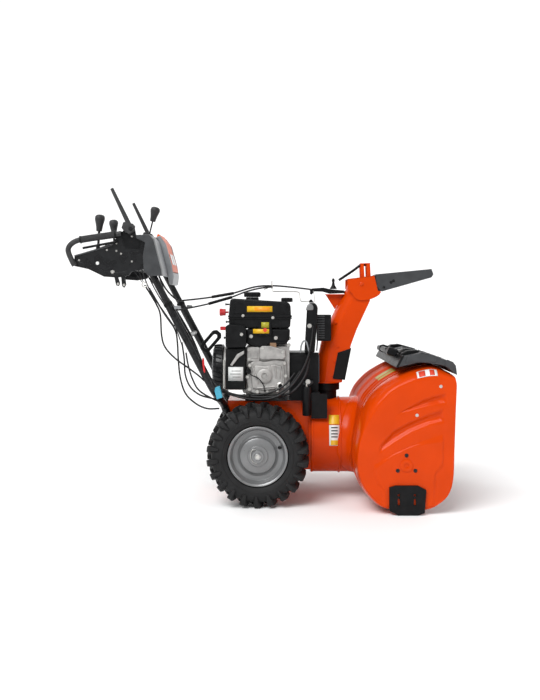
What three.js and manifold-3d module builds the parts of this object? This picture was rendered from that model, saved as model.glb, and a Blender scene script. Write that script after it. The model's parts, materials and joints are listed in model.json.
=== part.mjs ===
// Two-stage snow blower, in millimetres. +Z is up, +X points forward to the auger, +Y is the operator's left.
// The origin is on the ground, below the middle of the machine.
import * as THREE from "three";
import { mergeVertices } from "three/addons/utils/BufferGeometryUtils.js";
import Module from "manifold-3d";

const wasm = await Module();
wasm.setup();

// Driving dimensions
const GAP = 0.4; // between pieces that touch
const SHEET = 3; // pressed steel
const CLEARING_WIDTH = 762;
const PLATE_Y = CLEARING_WIDTH / 2;
const SHOULDER = 110; // depth of the side plates' rounded shoulder
const AUGER = { x: 552.5, z: 184.5, r: 150, shaft: 12 };
const IMPELLER = { z: 248, r: 145, shaft: 10 };
const DRUM = { r: 154, back: 205.4, front: 412 };
const WHEEL = { x: -6, z: 200, r: 200, inner: 135, outer: 295, rim: 116, lugs: 20 };
const TUB = { back: -130, front: 205, half: 100, bottom: 118, top: 397 };
const ENGINE = { back: -54, front: 119, crankZ: 520 };
const PULLEY = { x0: 150, x1: 178, big: 84, small: 34, belt: 8 };
const CHUTE = { x: 272, half: 54, neck: 44, bore: 40, ring: 56, flange: 67, flangeZ: 463 };
const DEFLECTOR = { x: 415, z: 869, half: 60.5 };
const HANDLE_Y = 240;
const GRIP_Y = 270;
const LEVER_Y = 200;
const TUBE = { lower: 16, upper: 13.5 };
const CLUTCH_PIVOT = [-496, 1078];
const TRIGGER_PIVOT = [-556, 1029];

// Paints and finishes
const ORANGE = { color: 0xee5512, roughness: 0.35, metalness: 0.1 };
const BLACK = { color: 0x1d1e20, roughness: 0.6, metalness: 0 };
const BLACK_STEEL = { color: 0x202124, roughness: 0.45, metalness: 0.3 };
const DARK_GREY = { color: 0x3f4246, roughness: 0.6, metalness: 0 };
const SILVER = { color: 0xb9bcbe, roughness: 0.4, metalness: 0.3 };
const STEEL = { color: 0x9a9c9e, roughness: 0.35, metalness: 0.9 };
const ALUMINIUM = { color: 0xb4b6b6, roughness: 0.5, metalness: 0.8 };
const RUBBER = { color: 0x161616, roughness: 0.9, metalness: 0 };
const RED = { color: 0xb81c1c, roughness: 0.4, metalness: 0 };

const machine = new THREE.Group();
machine.name = "snow_blower";

// ---------- shape tools ----------

// A closed geometry as a solid, turned right side out.
function solid(geometry) {
  const loose = geometry.index ? geometry.toNonIndexed() : geometry;
  const bare = new THREE.BufferGeometry();
  bare.setAttribute("position", loose.getAttribute("position"));
  const merged = mergeVertices(bare, 1e-3);
  const corners = Array.from(merged.index.array);
  const build = (flip) => {
    const kept = [];
    for (let i = 0; i < corners.length; i += 3) {
      const [a, b, c] = corners.slice(i, i + 3);
      if (a !== b && b !== c && c !== a) kept.push(...(flip ? [a, c, b] : [a, b, c]));
    }
    const vertProperties = merged.attributes.position.array;
    return new wasm.Manifold(
      new wasm.Mesh({ numProp: 3, vertProperties, triVerts: new Uint32Array(kept) }),
    );
  };
  const made = build(false);
  return made.volume() < 0 ? build(true) : made;
}

const join = (first, ...others) => others.reduce((sum, part) => sum.add(part), first);
const cut = (body, ...tools) => tools.reduce((left, tool) => left.subtract(tool), body);

// Names a solid and puts it in the machine.
function add(name, body, finish, mirrored = false) {
  const mesh = body.getMesh();
  const count = mesh.numProp;
  const points = new Float32Array(mesh.numVert * 3);
  for (let i = 0; i < mesh.numVert; i++)
    points.set(mesh.vertProperties.subarray(i * count, i * count + 3), i * 3);
  const geometry = new THREE.BufferGeometry();
  geometry.setAttribute("position", new THREE.BufferAttribute(points, 3));
  geometry.setIndex(new THREE.BufferAttribute(mesh.triVerts, 1));
  const material = new THREE.MeshStandardMaterial({ ...finish, flatShading: true });
  const piece = new THREE.Mesh(geometry, material);
  piece.name = name;
  if (mirrored) piece.scale.y = -1;
  machine.add(piece);
}

// A piece shaped on the right-hand side (-Y), and its mirror image on the left.
function addPair(name, body, finish) {
  add("right_" + name, body, finish);
  add("left_" + name, body, finish, true);
}

function extruded(points, depth) {
  const shape = new THREE.Shape(points.map(([a, b]) => new THREE.Vector2(a, b)));
  return new THREE.ExtrudeGeometry(shape, { depth, bevelEnabled: false });
}

// An X-Z outline with thickness along Y.
function plate(points, y0, y1) {
  return solid(extruded(points, y1 - y0).rotateX(Math.PI / 2).translate(0, y1, 0));
}

// An X-Y outline with thickness along Z.
function slab(points, z0, z1) {
  return solid(extruded(points, z1 - z0).translate(0, 0, z0));
}

// A Y-Z outline with thickness along X.
function wall(points, x0, x1) {
  const turn = new THREE.Matrix4().makeBasis(
    new THREE.Vector3(0, 1, 0),
    new THREE.Vector3(0, 0, 1),
    new THREE.Vector3(1, 0, 0),
  );
  return solid(extruded(points, x1 - x0).applyMatrix4(turn).translate(x0, 0, 0));
}

function block(x0, x1, y0, y1, z0, z1) {
  const box = new THREE.BoxGeometry(x1 - x0, y1 - y0, z1 - z0);
  return solid(box.translate((x0 + x1) / 2, (y0 + y1) / 2, (z0 + z1) / 2));
}

// A round bar or cone between two points.
function rod(from, to, radius, sides = 12, endRadius = radius) {
  const a = new THREE.Vector3(...from);
  const b = new THREE.Vector3(...to);
  const bar = new THREE.CylinderGeometry(endRadius, radius, a.distanceTo(b), sides);
  const along = b.clone().sub(a).normalize();
  bar.applyQuaternion(new THREE.Quaternion().setFromUnitVectors(new THREE.Vector3(0, 1, 0), along));
  const middle = a.add(b).multiplyScalar(0.5);
  return solid(bar.translate(middle.x, middle.y, middle.z));
}

// A turned piece: profile points are [radius, height] along the axis from a base point.
function turned(profile, base, axis, sides) {
  const lathe = new THREE.LatheGeometry(profile.map(([r, h]) => new THREE.Vector2(r, h)), sides);
  const along = new THREE.Vector3(...axis);
  lathe.applyQuaternion(new THREE.Quaternion().setFromUnitVectors(new THREE.Vector3(0, 1, 0), along));
  return solid(lathe.translate(...base));
}

// A round bar bent along a smooth curve through the points.
function pipe(points, radius, steps, sides = 10) {
  const route = new THREE.CatmullRomCurve3(
    points.map((p) => new THREE.Vector3(...p)),
    false,
    "centripetal",
  );
  const ring = [];
  for (let i = 0; i < sides; i++) {
    const angle = (2 * Math.PI * i) / sides;
    ring.push(new THREE.Vector2(radius * Math.cos(angle), radius * Math.sin(angle)));
  }
  const options = { steps, extrudePath: route, bevelEnabled: false };
  return solid(new THREE.ExtrudeGeometry(new THREE.Shape(ring), options));
}

// A line of points moved sideways by a distance, to the left of its direction.
function moved(points, distance) {
  return points.map(([x, z], i) => {
    const [ax, az] = points[Math.max(i - 1, 0)];
    const [bx, bz] = points[Math.min(i + 1, points.length - 1)];
    const length = Math.hypot(bx - ax, bz - az);
    return [x - (distance * (bz - az)) / length, z + (distance * (bx - ax)) / length];
  });
}

// A strip of sheet that follows an open X-Z line.
function strip(points, thickness, y0, y1) {
  return plate([...points, ...moved(points, thickness).reverse()], y0, y1);
}

// A closed skin over rings of points, all rings alike in count; the ends are fanned or given as pairs.
function skinned(rings, capPairs) {
  const count = rings[0].length;
  const position = rings.flat(2);
  const index = [];
  for (let r = 0; r + 1 < rings.length; r++)
    for (let i = 0; i < count; i++) {
      const j = (i + 1) % count;
      const [a, b, c, d] = [r * count + i, r * count + j, (r + 1) * count + j, (r + 1) * count + i];
      index.push(a, b, c, a, c, d);
    }
  const last = (rings.length - 1) * count;
  for (const [i, j, k] of capPairs) {
    index.push(i, k, j);
    index.push(last + i, last + j, last + k);
  }
  const geometry = new THREE.BufferGeometry();
  geometry.setAttribute("position", new THREE.Float32BufferAttribute(position, 3));
  geometry.setIndex(index);
  return solid(geometry);
}

// Triangles that close a ring of points, in the ring's own direction.
function capOf(points) {
  const outline = points.map(([x, z]) => new THREE.Vector2(x, z));
  const faces = THREE.ShapeUtils.triangulateShape(outline, []);
  const sameWay = THREE.ShapeUtils.area(faces[0].map((i) => outline[i])) * THREE.ShapeUtils.area(outline) > 0;
  return sameWay ? faces : faces.map(([a, b, c]) => [a, c, b]);
}

// A solid that blends one X-Z outline into another along Y.
function lofted(outlineA, yA, outlineB, yB) {
  const ringA = outlineA.map(([x, z]) => [x, yA, z]);
  const ringB = outlineB.map(([x, z]) => [x, yB, z]);
  return skinned([ringA, ringB], capOf(outlineA));
}

// ---------- auger housing ----------

// From the lower lip round the back to the front of the roof.
const WRAP = [
  [625, 17], [482, 15], [423, 47], [381, 107], [363.5, 182], [365, 250], [375, 305],
  [390, 370], [410, 418], [440, 456], [480, 490], [545, 527], [600, 547], [660, 556], [737, 520],
];
// The same line where the side plate turns flat.
const PLATE_RIM = [
  [625, 19], [488, 24], [433, 58], [391, 113], [372, 182], [380, 262], [397, 315],
  [423, 360], [440, 388], [458, 412], [502, 458], [555, 486], [602, 500], [660, 508], [737, 507],
];
const FRONT_EDGE = [[735, 355], [726, 131], [706, 71], [662, 33]];
const FRONT_BEYOND = [[780, 355], [780, 131], [760, 40], [700, 0]];

function auger_housing() {
  const inside = PLATE_Y - SHOULDER - GAP;
  const sheet = strip(WRAP, -SHEET, -inside, inside);
  const outlet = rod([300, 0, IMPELLER.z], [450, 0, IMPELLER.z], DRUM.r - SHEET, 40);
  add("auger_housing", cut(sheet, outlet), ORANGE);
}

// A solid that narrows from the wrap's outline to the plate's rim over a rounded shoulder.
function shouldered(wrap, wrapY, rim, rimY) {
  const middle = rim.map(([x, z], i) => [
    x + (wrap[i][0] - x) * Math.SQRT1_2,
    z + (wrap[i][1] - z) * Math.SQRT1_2,
  ]);
  const middleY = -(PLATE_Y - SHOULDER * (1 - Math.SQRT1_2));
  return join(lofted(wrap, wrapY, middle, middleY), lofted(middle, middleY, rim, rimY));
}

function side_plates() {
  const wrapOutline = [...WRAP, ...FRONT_EDGE];
  const rimOutline = [...PLATE_RIM, ...FRONT_EDGE];
  const outer = shouldered(wrapOutline, -(PLATE_Y - SHOULDER), rimOutline, -PLATE_Y);
  const roomWrap = [...moved(WRAP, -SHEET), ...FRONT_BEYOND];
  const roomRim = [...moved(PLATE_RIM, -SHEET), ...FRONT_BEYOND];
  roomWrap[0] = [640, -20];
  roomRim[0] = [640, -20];
  roomWrap[WRAP.length - 1] = [780, 500];
  roomRim[WRAP.length - 1] = [780, 490];
  const room = shouldered(roomWrap, -(PLATE_Y - SHOULDER - 1), roomRim, -(PLATE_Y - SHEET));
  const axleHole = rod([AUGER.x, -400, AUGER.z], [AUGER.x, -350, AUGER.z], AUGER.shaft + 0.6, 24);
  addPair("side_plate", cut(outer, room, axleHole), ORANGE);
}

function scraper() {
  const bar = [[560, 3], [641, 3], [638, 13], [560, 12]];
  add("scraper_bar", plate(bar, -(PLATE_Y - SHOULDER), PLATE_Y - SHOULDER), BLACK_STEEL);
}

function skids() {
  const outline = [[487, 104], [510, 111], [594, 111], [625, 95], [619, 9], [594, 0], [522, 0], [487, 18]];
  const slots = [522, 582].map((x) => block(x - 4, x + 4, -400, -380, 38, 80));
  const shoe = cut(plate(outline, -(PLATE_Y + 16), -(PLATE_Y + GAP)), ...slots);
  addPair("skid_shoe", shoe, BLACK);
}

function housing_cover() {
  const outline = [
    [520, 548], [601, 567], [640, 566], [700, 555], [736, 528], [748.5, 520],
    [742, 556], [731, 568], [710, 577], [606, 603], [545, 590],
  ];
  const below = [
    [524, 530], [549, 586.5], [605, 599.6], [709, 573.8], [728.5, 565.5], [738.5, 554], [744, 530], [735, 500],
  ];
  add("housing_cover", cut(plate(outline, -350, 350), plate(below, -346, 346)), DARK_GREY);
}

// ---------- auger, worm gear case and impeller ----------

// A helical steel ribbon round the auger shaft, on spokes from a tube.
function auger_flight() {
  const [yIn, yOut] = [-58, -362];
  const [rIn, turns, steps, thick] = [112, 1.25, 30, 6];
  const rings = [];
  for (let i = 0; i <= steps; i++) {
    const angle = (2 * Math.PI * turns * i) / steps;
    const y = yIn + ((yOut - yIn) * i) / steps;
    const at = (r, side) => [AUGER.x + r * Math.cos(angle), y + side, AUGER.z + r * Math.sin(angle)];
    rings.push([at(rIn, 0), at(AUGER.r, 0), at(AUGER.r, -thick), at(rIn, -thick)]);
  }
  const ribbon = skinned(rings, [[0, 1, 2], [0, 2, 3]]);
  const tube = cut(
    rod([AUGER.x, -52, AUGER.z], [AUGER.x, -362, AUGER.z], 19, 16),
    rod([AUGER.x, -40, AUGER.z], [AUGER.x, -370, AUGER.z], AUGER.shaft + 0.8, 16),
  );
  const spokes = [0.06, 0.35, 0.65, 0.94].map((part) => {
    const angle = 2 * Math.PI * turns * part;
    const y = yIn + (yOut - yIn) * part - thick / 2;
    const at = (r) => [AUGER.x + r * Math.cos(angle), y, AUGER.z + r * Math.sin(angle)];
    return rod(at(16), at(rIn + 12), 7, 6);
  });
  return join(tube, ribbon, ...spokes);
}

function auger() {
  const end = PLATE_Y - 1;
  add("auger_shaft", rod([AUGER.x, -end, AUGER.z], [AUGER.x, end, AUGER.z], AUGER.shaft, 16), STEEL);
  addPair("auger_flight", auger_flight(), BLACK_STEEL);
}

function auger_gearbox() {
  const wormZ = IMPELLER.z;
  const shell = join(
    rod([AUGER.x, -38, AUGER.z], [AUGER.x, 38, AUGER.z], 50, 20),
    rod([430, 0, wormZ], [AUGER.x + 30, 0, wormZ], 26, 16),
  );
  const bores = [
    rod([AUGER.x, -60, AUGER.z], [AUGER.x, 60, AUGER.z], AUGER.shaft + 0.8, 20),
    rod([420, 0, wormZ], [535, 0, wormZ], IMPELLER.shaft + 0.8, 20),
  ];
  add("auger_gearbox", cut(shell, ...bores), ALUMINIUM);
}

function impeller() {
  const shaft = rod([PULLEY.x0 - 6, 0, IMPELLER.z], [525, 0, IMPELLER.z], IMPELLER.shaft, 16);
  const hub = rod([216, 0, IMPELLER.z], [340, 0, IMPELLER.z], 24, 16);
  const blades = [0, 1, 2, 3].map((i) => {
    const blade = block(222, 338, -3, 3, 15, IMPELLER.r);
    return blade.rotate([i * 90 + 20, 0, 0]).translate([0, 0, IMPELLER.z]);
  });
  add("impeller", join(shaft, hub, ...blades), ORANGE);
}

function impeller_drum() {
  const { r, back, front } = DRUM;
  const cup = cut(
    rod([back, 0, IMPELLER.z], [front - 0.8, 0, IMPELLER.z], r, 40),
    rod([back + SHEET, 0, IMPELLER.z], [front + 10, 0, IMPELLER.z], r - SHEET, 40),
    rod([back - 5, 0, IMPELLER.z], [back + 10, 0, IMPELLER.z], IMPELLER.shaft + 1, 20),
    rod([CHUTE.x, 0, 300], [CHUTE.x, 0, 440], CHUTE.bore, 24),
    plate([...moved(WRAP, 0.5), [780, 520], [780, 17]], -200, 200),
  );
  add("impeller_drum", cup, ORANGE);
}

// ---------- belt drive ----------

function pulley(z, radius, bore, x0, x1) {
  const width = x1 - x0;
  const web = width / 2 - 4;
  const recess = [[bore + 14, 0], [bore + 14, web], [radius - 12, web], [radius - 12, 0]];
  const profile = [
    [bore, 0], ...(radius > 60 ? recess : []), [radius + 5, 0], [radius + 5, 3], [radius, 6],
    [radius, width - 6], [radius + 5, width - 3], [radius + 5, width], [bore, width], [bore, 0],
  ];
  return turned(profile, [x0, 0, z], [1, 0, 0], 24);
}

// The loop of a belt round the two pulleys, as a Y-Z outline.
function beltLoop(extra) {
  const [lowR, highR] = [PULLEY.big + extra, PULLEY.small + extra];
  const tilt = Math.asin((PULLEY.big - PULLEY.small) / (ENGINE.crankZ - IMPELLER.z));
  const points = [];
  const arc = (radius, z, from, to, steps) => {
    for (let i = 0; i <= steps; i++) {
      const angle = from + ((to - from) * i) / steps;
      points.push([radius * Math.cos(angle), z + radius * Math.sin(angle)]);
    }
  };
  arc(lowR, IMPELLER.z, Math.PI - tilt, 2 * Math.PI + tilt, 16);
  arc(highR, ENGINE.crankZ, tilt, Math.PI - tilt, 8);
  return points;
}

function belt_drive() {
  add("impeller_pulley", pulley(IMPELLER.z, PULLEY.big, IMPELLER.shaft + 0.3, PULLEY.x0, PULLEY.x1), STEEL);
  const crank = rod([ENGINE.front + GAP, 0, ENGINE.crankZ], [186, 0, ENGINE.crankZ], 12, 16);
  const top = pulley(ENGINE.crankZ, PULLEY.small, 8, PULLEY.x0, PULLEY.x1);
  add("engine_pulley", join(crank, top), STEEL);
  const [x0, x1] = [PULLEY.x0 + 7, PULLEY.x1 - 7];
  const belt = cut(wall(beltLoop(0.8 + PULLEY.belt), x0, x1), wall(beltLoop(1.2), x0 - 5, x1 + 5));
  add("drive_belt", belt, RUBBER);
}

function belt_cover() {
  const top = 591;
  const main = [
    [-110, TUB.top + GAP], [110, TUB.top + GAP], [110, 540], [90, 580], [60, top],
    [-60, top], [-100, top], [-110, 580],
  ];
  const room = [[-106, 380], [106, 380], [106, 538], [88, 576], [58, top - 4], [-98, top - 4], [-106, 577]];
  const wing = slab([[198, -72], [222, -72], [236, -96], [236, -112], [198, -112]], 425, top);
  const ear = join(
    block(190, 240, -152, -104, 400, 434),
    block(206, 269, -152, -133, 330, 428),
  );
  const shell = cut(wall(main, 119.6, 203), wall(room, 100, 199));
  add("belt_cover", join(shell, wing, ear), BLACK);
}

// ---------- chassis, axles and wheels ----------

function chassis() {
  const { back, front, half, bottom, top } = TUB;
  const outer = join(
    plate([[back, 300], [back + 14, bottom], [front, bottom], [front, top], [back, top]], -half, half),
    wall(
      [[-118, 140], [118, 140], [130, 200], [130, 330], [112, 372], [-112, 372], [-130, 330], [-130, 200]],
      196,
      front,
    ),
  );
  const room = block(back + SHEET + 12, front - SHEET, -half + SHEET, half - SHEET, bottom + SHEET, top - SHEET);
  const beltHole = block(124, front - SHEET, -half + SHEET, half - SHEET, 300, top + 5);
  const axleHole = rod([WHEEL.x, -150, WHEEL.z], [WHEEL.x, 150, WHEEL.z], 14, 20);
  const shaftHole = rod([190, 0, IMPELLER.z], [220, 0, IMPELLER.z], 12, 20);
  add("chassis_tub", cut(outer, room, beltHole, axleHole, shaftHole), ORANGE);
}

// A chunky tyre: a smooth carcass and two staggered rings of tread blocks.
function tyre() {
  const middle = (WHEEL.inner + WHEEL.outer) / 2;
  const half = (WHEEL.outer - WHEEL.inner) / 2;
  const [bead, root] = [WHEEL.rim + 0.8, WHEEL.r - 17];
  const wallIn = 14;
  const outerSide = [[bead, half - 14], [140, half], [168, half - 3], [root, half - 22]];
  const innerSide = [[root - wallIn, half - 34], [160, half - wallIn], [140, half - wallIn], [bead, half - 30]];
  const oneSide = (points, side) => points.map(([r, h]) => [r, side * h]);
  const profile = [
    ...oneSide(outerSide, -1), ...oneSide(outerSide, 1).reverse(),
    ...oneSide(innerSide, 1).reverse(), ...oneSide(innerSide, -1), [bead, -half + 14],
  ];
  const carcass = turned(profile, [WHEEL.x, -middle, WHEEL.z], [0, 1, 0], 30);
  const treadRing = (from, to, phase) => {
    const pitch = (2 * Math.PI) / WHEEL.lugs;
    const outline = [];
    for (let i = 0; i < WHEEL.lugs; i++) {
      const corners = [[0.05, root - 4], [0.1, WHEEL.r], [0.5, WHEEL.r], [0.55, root - 4]];
      for (const [part, r] of corners) {
        const angle = (i + part + phase) * pitch;
        outline.push([WHEEL.x + r * Math.cos(angle), WHEEL.z + r * Math.sin(angle)]);
      }
    }
    return plate(outline, from, to);
  };
  const bore = rod([WHEEL.x, -300, WHEEL.z], [WHEEL.x, -130, WHEEL.z], 150, 30);
  const outside = cut(treadRing(-WHEEL.outer + 9, -middle, 0), bore);
  const inside = cut(treadRing(-middle, -WHEEL.inner - 9, 0.5), bore);
  return join(carcass, outside, inside);
}

function rim() {
  const middle = (WHEEL.inner + WHEEL.outer) / 2;
  const profile = [
    [WHEEL.rim, -66], [WHEEL.rim, 66], [113, 66], [112, -26], [73, -27], [66, -41], [21, -41],
    [21, 40], [13.5, 40], [13.5, -68], [34, -68], [36, -46], [64, -46], [72, -32], [107, -32],
    [112, -66], [WHEEL.rim, -66],
  ];
  return turned(profile, [WHEEL.x, -middle, WHEEL.z], [0, 1, 0], 28);
}

function wheels() {
  addPair("tyre", tyre(), RUBBER);
  addPair("rim", rim(), SILVER);
  const shaft = rod([WHEEL.x, -290, WHEEL.z], [WHEEL.x, -6, WHEEL.z], 12.7, 16);
  addPair("half_axle", shaft, STEEL);
}

// ---------- engine ----------

function engine_block() {
  const { back, front, crankZ } = ENGINE;
  const fins = [500, 530, 560].map((z) => block(-40, 100, 95, 160, z, z + 14));
  const body = join(
    block(back, front, -130, 72, 430, 617),
    block(back - 4, front, -92, 92, TUB.top + GAP, 434),
    block(-30, 90, 60, 150, 478, 602),
    block(-44, 104, -70, 70, 610, 684),
    rod([-150, 0, crankZ], [back + 4, 0, crankZ], 90, 32),
  );
  add("engine_block", cut(body, ...fins), ALUMINIUM);
}

function fuel_tank() {
  const outline = [
    [-120, 688], [118, 688], [124, 700], [126, 742], [124, 788], [114, 797],
    [-112, 811], [-122, 806], [-126, 742], [-124, 698],
  ];
  const inside = outline.map(([x, z]) => [x * 0.965, 745 + (z - 745) * 0.93]);
  const neck = rod([-33, -30, 790], [-33, -30, 815], 26, 20);
  const filler = rod([-33, -30, 770], [-33, -30, 830], 20, 20);
  const shell = join(plate(outline, -150, 120), neck);
  add("fuel_tank", cut(shell, plate(inside, -146, 116), filler), BLACK);
  const cap = [[0, -14], [17, -14], [17, 0], [34.5, 0], [34.5, 16], [28, 21], [0, 21]];
  add("fuel_cap", turned(cap, [-33, -30, 815 + GAP], [0, 0, 1], 20), BLACK);
}

function engine_fittings() {
  add("starter_motor", block(-136, ENGINE.back - 3, -165, -98, 448, 611), BLACK);
  const cup = [[0, 47], [80, 45], [97, 32], [97, 0], [94, 0], [94, 30], [78, 41], [0, 43]];
  const recoil = turned(cup, [-150.6, 0, ENGINE.crankZ], [-1, 0, 0], 32);
  add("recoil_cover", recoil, BLACK);
  const can = [[6, 606], [104, 606], [112, 614], [112, 674], [104, 682], [6, 682], [0, 674], [0, 614]];
  const canRoom = can.map(([x, z]) => [56 + (x - 56) * 0.95, 644 + (z - 644) * 0.93]);
  const outlet = rod([90, 160, 650], [90, 175, 650], 11, 12);
  add("muffler", cut(plate(can, 76, 166), plate(canRoom, 79, 163), outlet), BLACK_STEEL);
  const knob = join(
    rod([-163, -100, 754], [-139, -100, 754], 13.5, 12),
    rod([-141, -100, 754], [-127, -100, 754], 4, 8),
  );
  add("choke_knob", knob, RED);
}

// A D-shaped pull grip, in line with the rise of the cord.
function starter_handle() {
  const along = new THREE.Vector2(57, 66).normalize();
  const across = new THREE.Vector2(-along.y, along.x);
  const ring = (length, width) => {
    const corners = [[1, 0.5], [0.75, 1], [-0.75, 1], [-1, 0.5], [-1, -0.5], [-0.75, -1], [0.75, -1], [1, -0.5]];
    return corners.map(([a, b]) => [
      -203 + (along.x * a * length + across.x * b * width) / 2,
      634 + (along.y * a * length + across.y * b * width) / 2,
    ]);
  };
  add("starter_handle", cut(plate(ring(104, 46), -54, -38), plate(ring(72, 19), -60, -30)), BLACK);
}

// ---------- chute ----------

// Back and front edges of the duct, from the turning ring up.
const DUCT = [
  [[222, 464], [335, 466]],
  [[233, 545], [352, 548]],
  [[251, 629], [374, 625]],
  [[277, 692], [396, 684]],
  [[309, 763], [426, 748]],
  [[345, 823], [450, 800]],
  [[361, 866], [452, 824]],
];

// One U-shaped section of the duct: open at the front, round at the back.
function ductSection([[bx, bz], [fx, fz]]) {
  const depth = Math.hypot(fx - bx, fz - bz);
  const [dx, dz] = [(fx - bx) / depth, (fz - bz) / depth];
  const path = (half, inset) => {
    const radius = CHUTE.half * 0.8 - inset;
    const points = [[depth, -half]];
    for (let i = 0; i <= 8; i++) {
      const angle = -Math.PI / 2 + (Math.PI * i) / 8;
      points.push([inset + radius - radius * Math.cos(angle), half * Math.sin(angle)]);
    }
    points.push([depth, half]);
    return points;
  };
  const outer = path(CHUTE.half, 0);
  const inner = path(CHUTE.half - SHEET, SHEET).reverse();
  return [...outer, ...inner].map(([d, y]) => [bx + dx * d, y, bz + dz * d]);
}

function chute() {
  const rings = DUCT.map(ductSection);
  const half = rings[0].length / 2;
  const caps = [];
  for (let i = 0; i + 1 < half; i++) {
    const [a, b, c, d] = [i, i + 1, 2 * half - 2 - i, 2 * half - 1 - i];
    caps.push([a, b, c], [a, c, d]);
  }
  const duct = skinned(rings, caps);
  const flange = cut(
    rod([CHUTE.x, 0, CHUTE.flangeZ], [CHUTE.x, 0, CHUTE.flangeZ + 5], CHUTE.flange, 28),
    rod([CHUTE.x, 0, 440], [CHUTE.x, 0, 500], CHUTE.neck, 28),
  );
  const bracket = join(
    plate([[269, 828], [309, 765], [350, 828]], -2, 2),
    block(269, 347, -22, 22, 825, 828),
  );
  add("chute", join(duct, flange, bracket), ORANGE);

  const guard = [[318, 588], [373, 606], [347, 476], [297, 481]];
  const shield = cut(
    plate(guard, -(CHUTE.half + 4), CHUTE.half + 4),
    plate(
      [[280, 440], [280, 640], [369, 640], [369, 604], [342, 474], [342, 440]],
      -(CHUTE.half + GAP),
      CHUTE.half + GAP,
    ),
  );
  add("chute_guard", shield, BLACK);
  const gearY = -(CHUTE.half + 2 * GAP);
  add("chute_gear_cover", block(230, 289, gearY - 34, gearY, 637, 744), BLACK);
}

function chute_neck() {
  const { x, neck, bore, ring, flangeZ } = CHUTE;
  const body = join(
    rod([x, 0, 380], [x, 0, 440], neck, 28),
    rod([x, 0, 433], [x, 0, flangeZ - GAP], ring, 28),
  );
  const drum = rod([150, 0, IMPELLER.z], [400, 0, IMPELLER.z], DRUM.r + GAP, 40);
  add("chute_neck", cut(body, drum, rod([x, 0, 350], [x, 0, 500], bore, 28)), BLACK);
}

function deflector() {
  const hood = [[357, 890], [467, 904], [482, 841], [498, 836], [456, 812], [409, 802], [383, 826], [357, 851]];
  const underHood = [[300, 879.7], [540, 910.3], [540, 700], [300, 700]];
  const half = DEFLECTOR.half;
  const posts = [[413, 430], [438, 456]].map(([x0, x1]) => block(x0, x1, -30, -26, 894, 955));
  const shell = cut(plate(hood, -half, half), plate(underHood, -half + SHEET, half - SHEET));
  const bridge = block(413, 456, -30, 30, 951, 955);
  const farPosts = posts.map((post) => post.translate([0, 56, 0]));
  add("deflector_hood", join(shell, ...posts, ...farPosts, bridge), ORANGE);

  const lip = [[472, 909], [702, 931], [710, 909], [702, 896], [498, 838], [480, 857]];
  const underLip = [[400, 899.1], [760, 933.6], [760, 700], [400, 700]];
  const inner = half - SHEET - GAP;
  add("deflector_tip", cut(plate(lip, -inner, inner), plate(underLip, -inner + SHEET, inner - SHEET)), DARK_GREY);
}

function control_column() {
  const outline = [[179, 591.6], [220, 591.6], [229, 700], [233, 776], [222, 792], [200, 792], [190, 780]];
  add("control_column", plate(outline, -134, -97), BLACK);
}

// ---------- handlebars and controls ----------

const TUBE_FOOT = [[-126, -118, 318], [-134, -118, 350], [-146, -128, 385], [-166, -196, 425], [-185, -236, 463]];
const onTube = (z) => [-185 - ((z - 463) * 217) / 412, -HANDLE_Y, z];

function handle_tubes() {
  const socketTop = 792;
  const lower = pipe([...TUBE_FOOT, onTube(520), onTube(600), onTube(socketTop)], TUBE.lower, 18, 12);
  const socket = rod(onTube(575), onTube(socketTop + 20), TUBE.upper + 1, 12);
  addPair("lower_handle_tube", cut(lower, socket), BLACK_STEEL);
  addPair("upper_handle_tube", rod(onTube(580), onTube(930), TUBE.upper, 12), BLACK_STEEL);
  const reach = HANDLE_Y - TUBE.lower - 2;
  add("cross_bar", rod([-290, -reach, 660], [-290, reach, 660], 10, 12), BLACK_STEEL);
}

const BRACKET = [
  [-717, 972], [-569, 1016], [-543, 1072], [-477, 1053], [-440, 1027], [-447, 923],
  [-495, 913], [-506, 898], [-550, 890], [-602, 894], [-662, 923], [-717, 935],
];

function grips() {
  const [outerY, innerY] = [-258.6, -253];
  const [cx, cz] = CLUTCH_PIVOT;
  const [tx, tz] = TRIGGER_PIVOT;
  const ear = plate([[-520, 1060], [-508, 1094], [-484, 1092], [-477, 1050]], outerY, innerY);
  const bracket = join(
    plate(BRACKET, outerY, innerY),
    ear,
    rod([cx, innerY - 1, cz], [cx, -281, cz], 4, 10),
    rod([tx, innerY - 1, tz], [tx, -279, tz], 2.4, 8),
  );
  addPair("control_bracket", bracket, BLACK_STEEL);

  const loop = [
    [-534, 1060], [-580, 1053], [-640, 1044.5], [-693, 1036], [-723, 1023], [-738, 1004],
    [-737, 985], [-725, 958], [-714, 937],
  ].map(([x, z]) => [x, -GRIP_Y, z]);
  addPair("grip_loop", pipe(loop, 10.5, 18, 10), BLACK);

  const lever = join(
    plate(
      [[-503, 1092], [-508, 1088], [-576, 1232], [-571, 1239], [-563, 1236], [-491, 1090], [-494, 1086]],
      -277,
      -263,
    ),
    rod([cx, -277, cz], [cx, -263, cz], 15, 20),
  );
  const leverBore = rod([cx, -290, cz], [cx, -250, cz], 4.5, 16);
  const clutch = cut(lever, leverBore);
  add("auger_clutch_lever", clutch, BLACK);
  add("drive_clutch_lever", clutch, BLACK, true);

  const bar = join(
    rod([tx, -277, tz], [tx, -263, tz], 6.5, 12),
    rod([tx - 4, -GRIP_Y, tz - 2], [-682, -GRIP_Y, 1004], 5, 8),
  );
  addPair("trigger", cut(bar, rod([tx, -290, tz], [tx, -250, tz], 2.8, 12)), BLACK);
}

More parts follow.
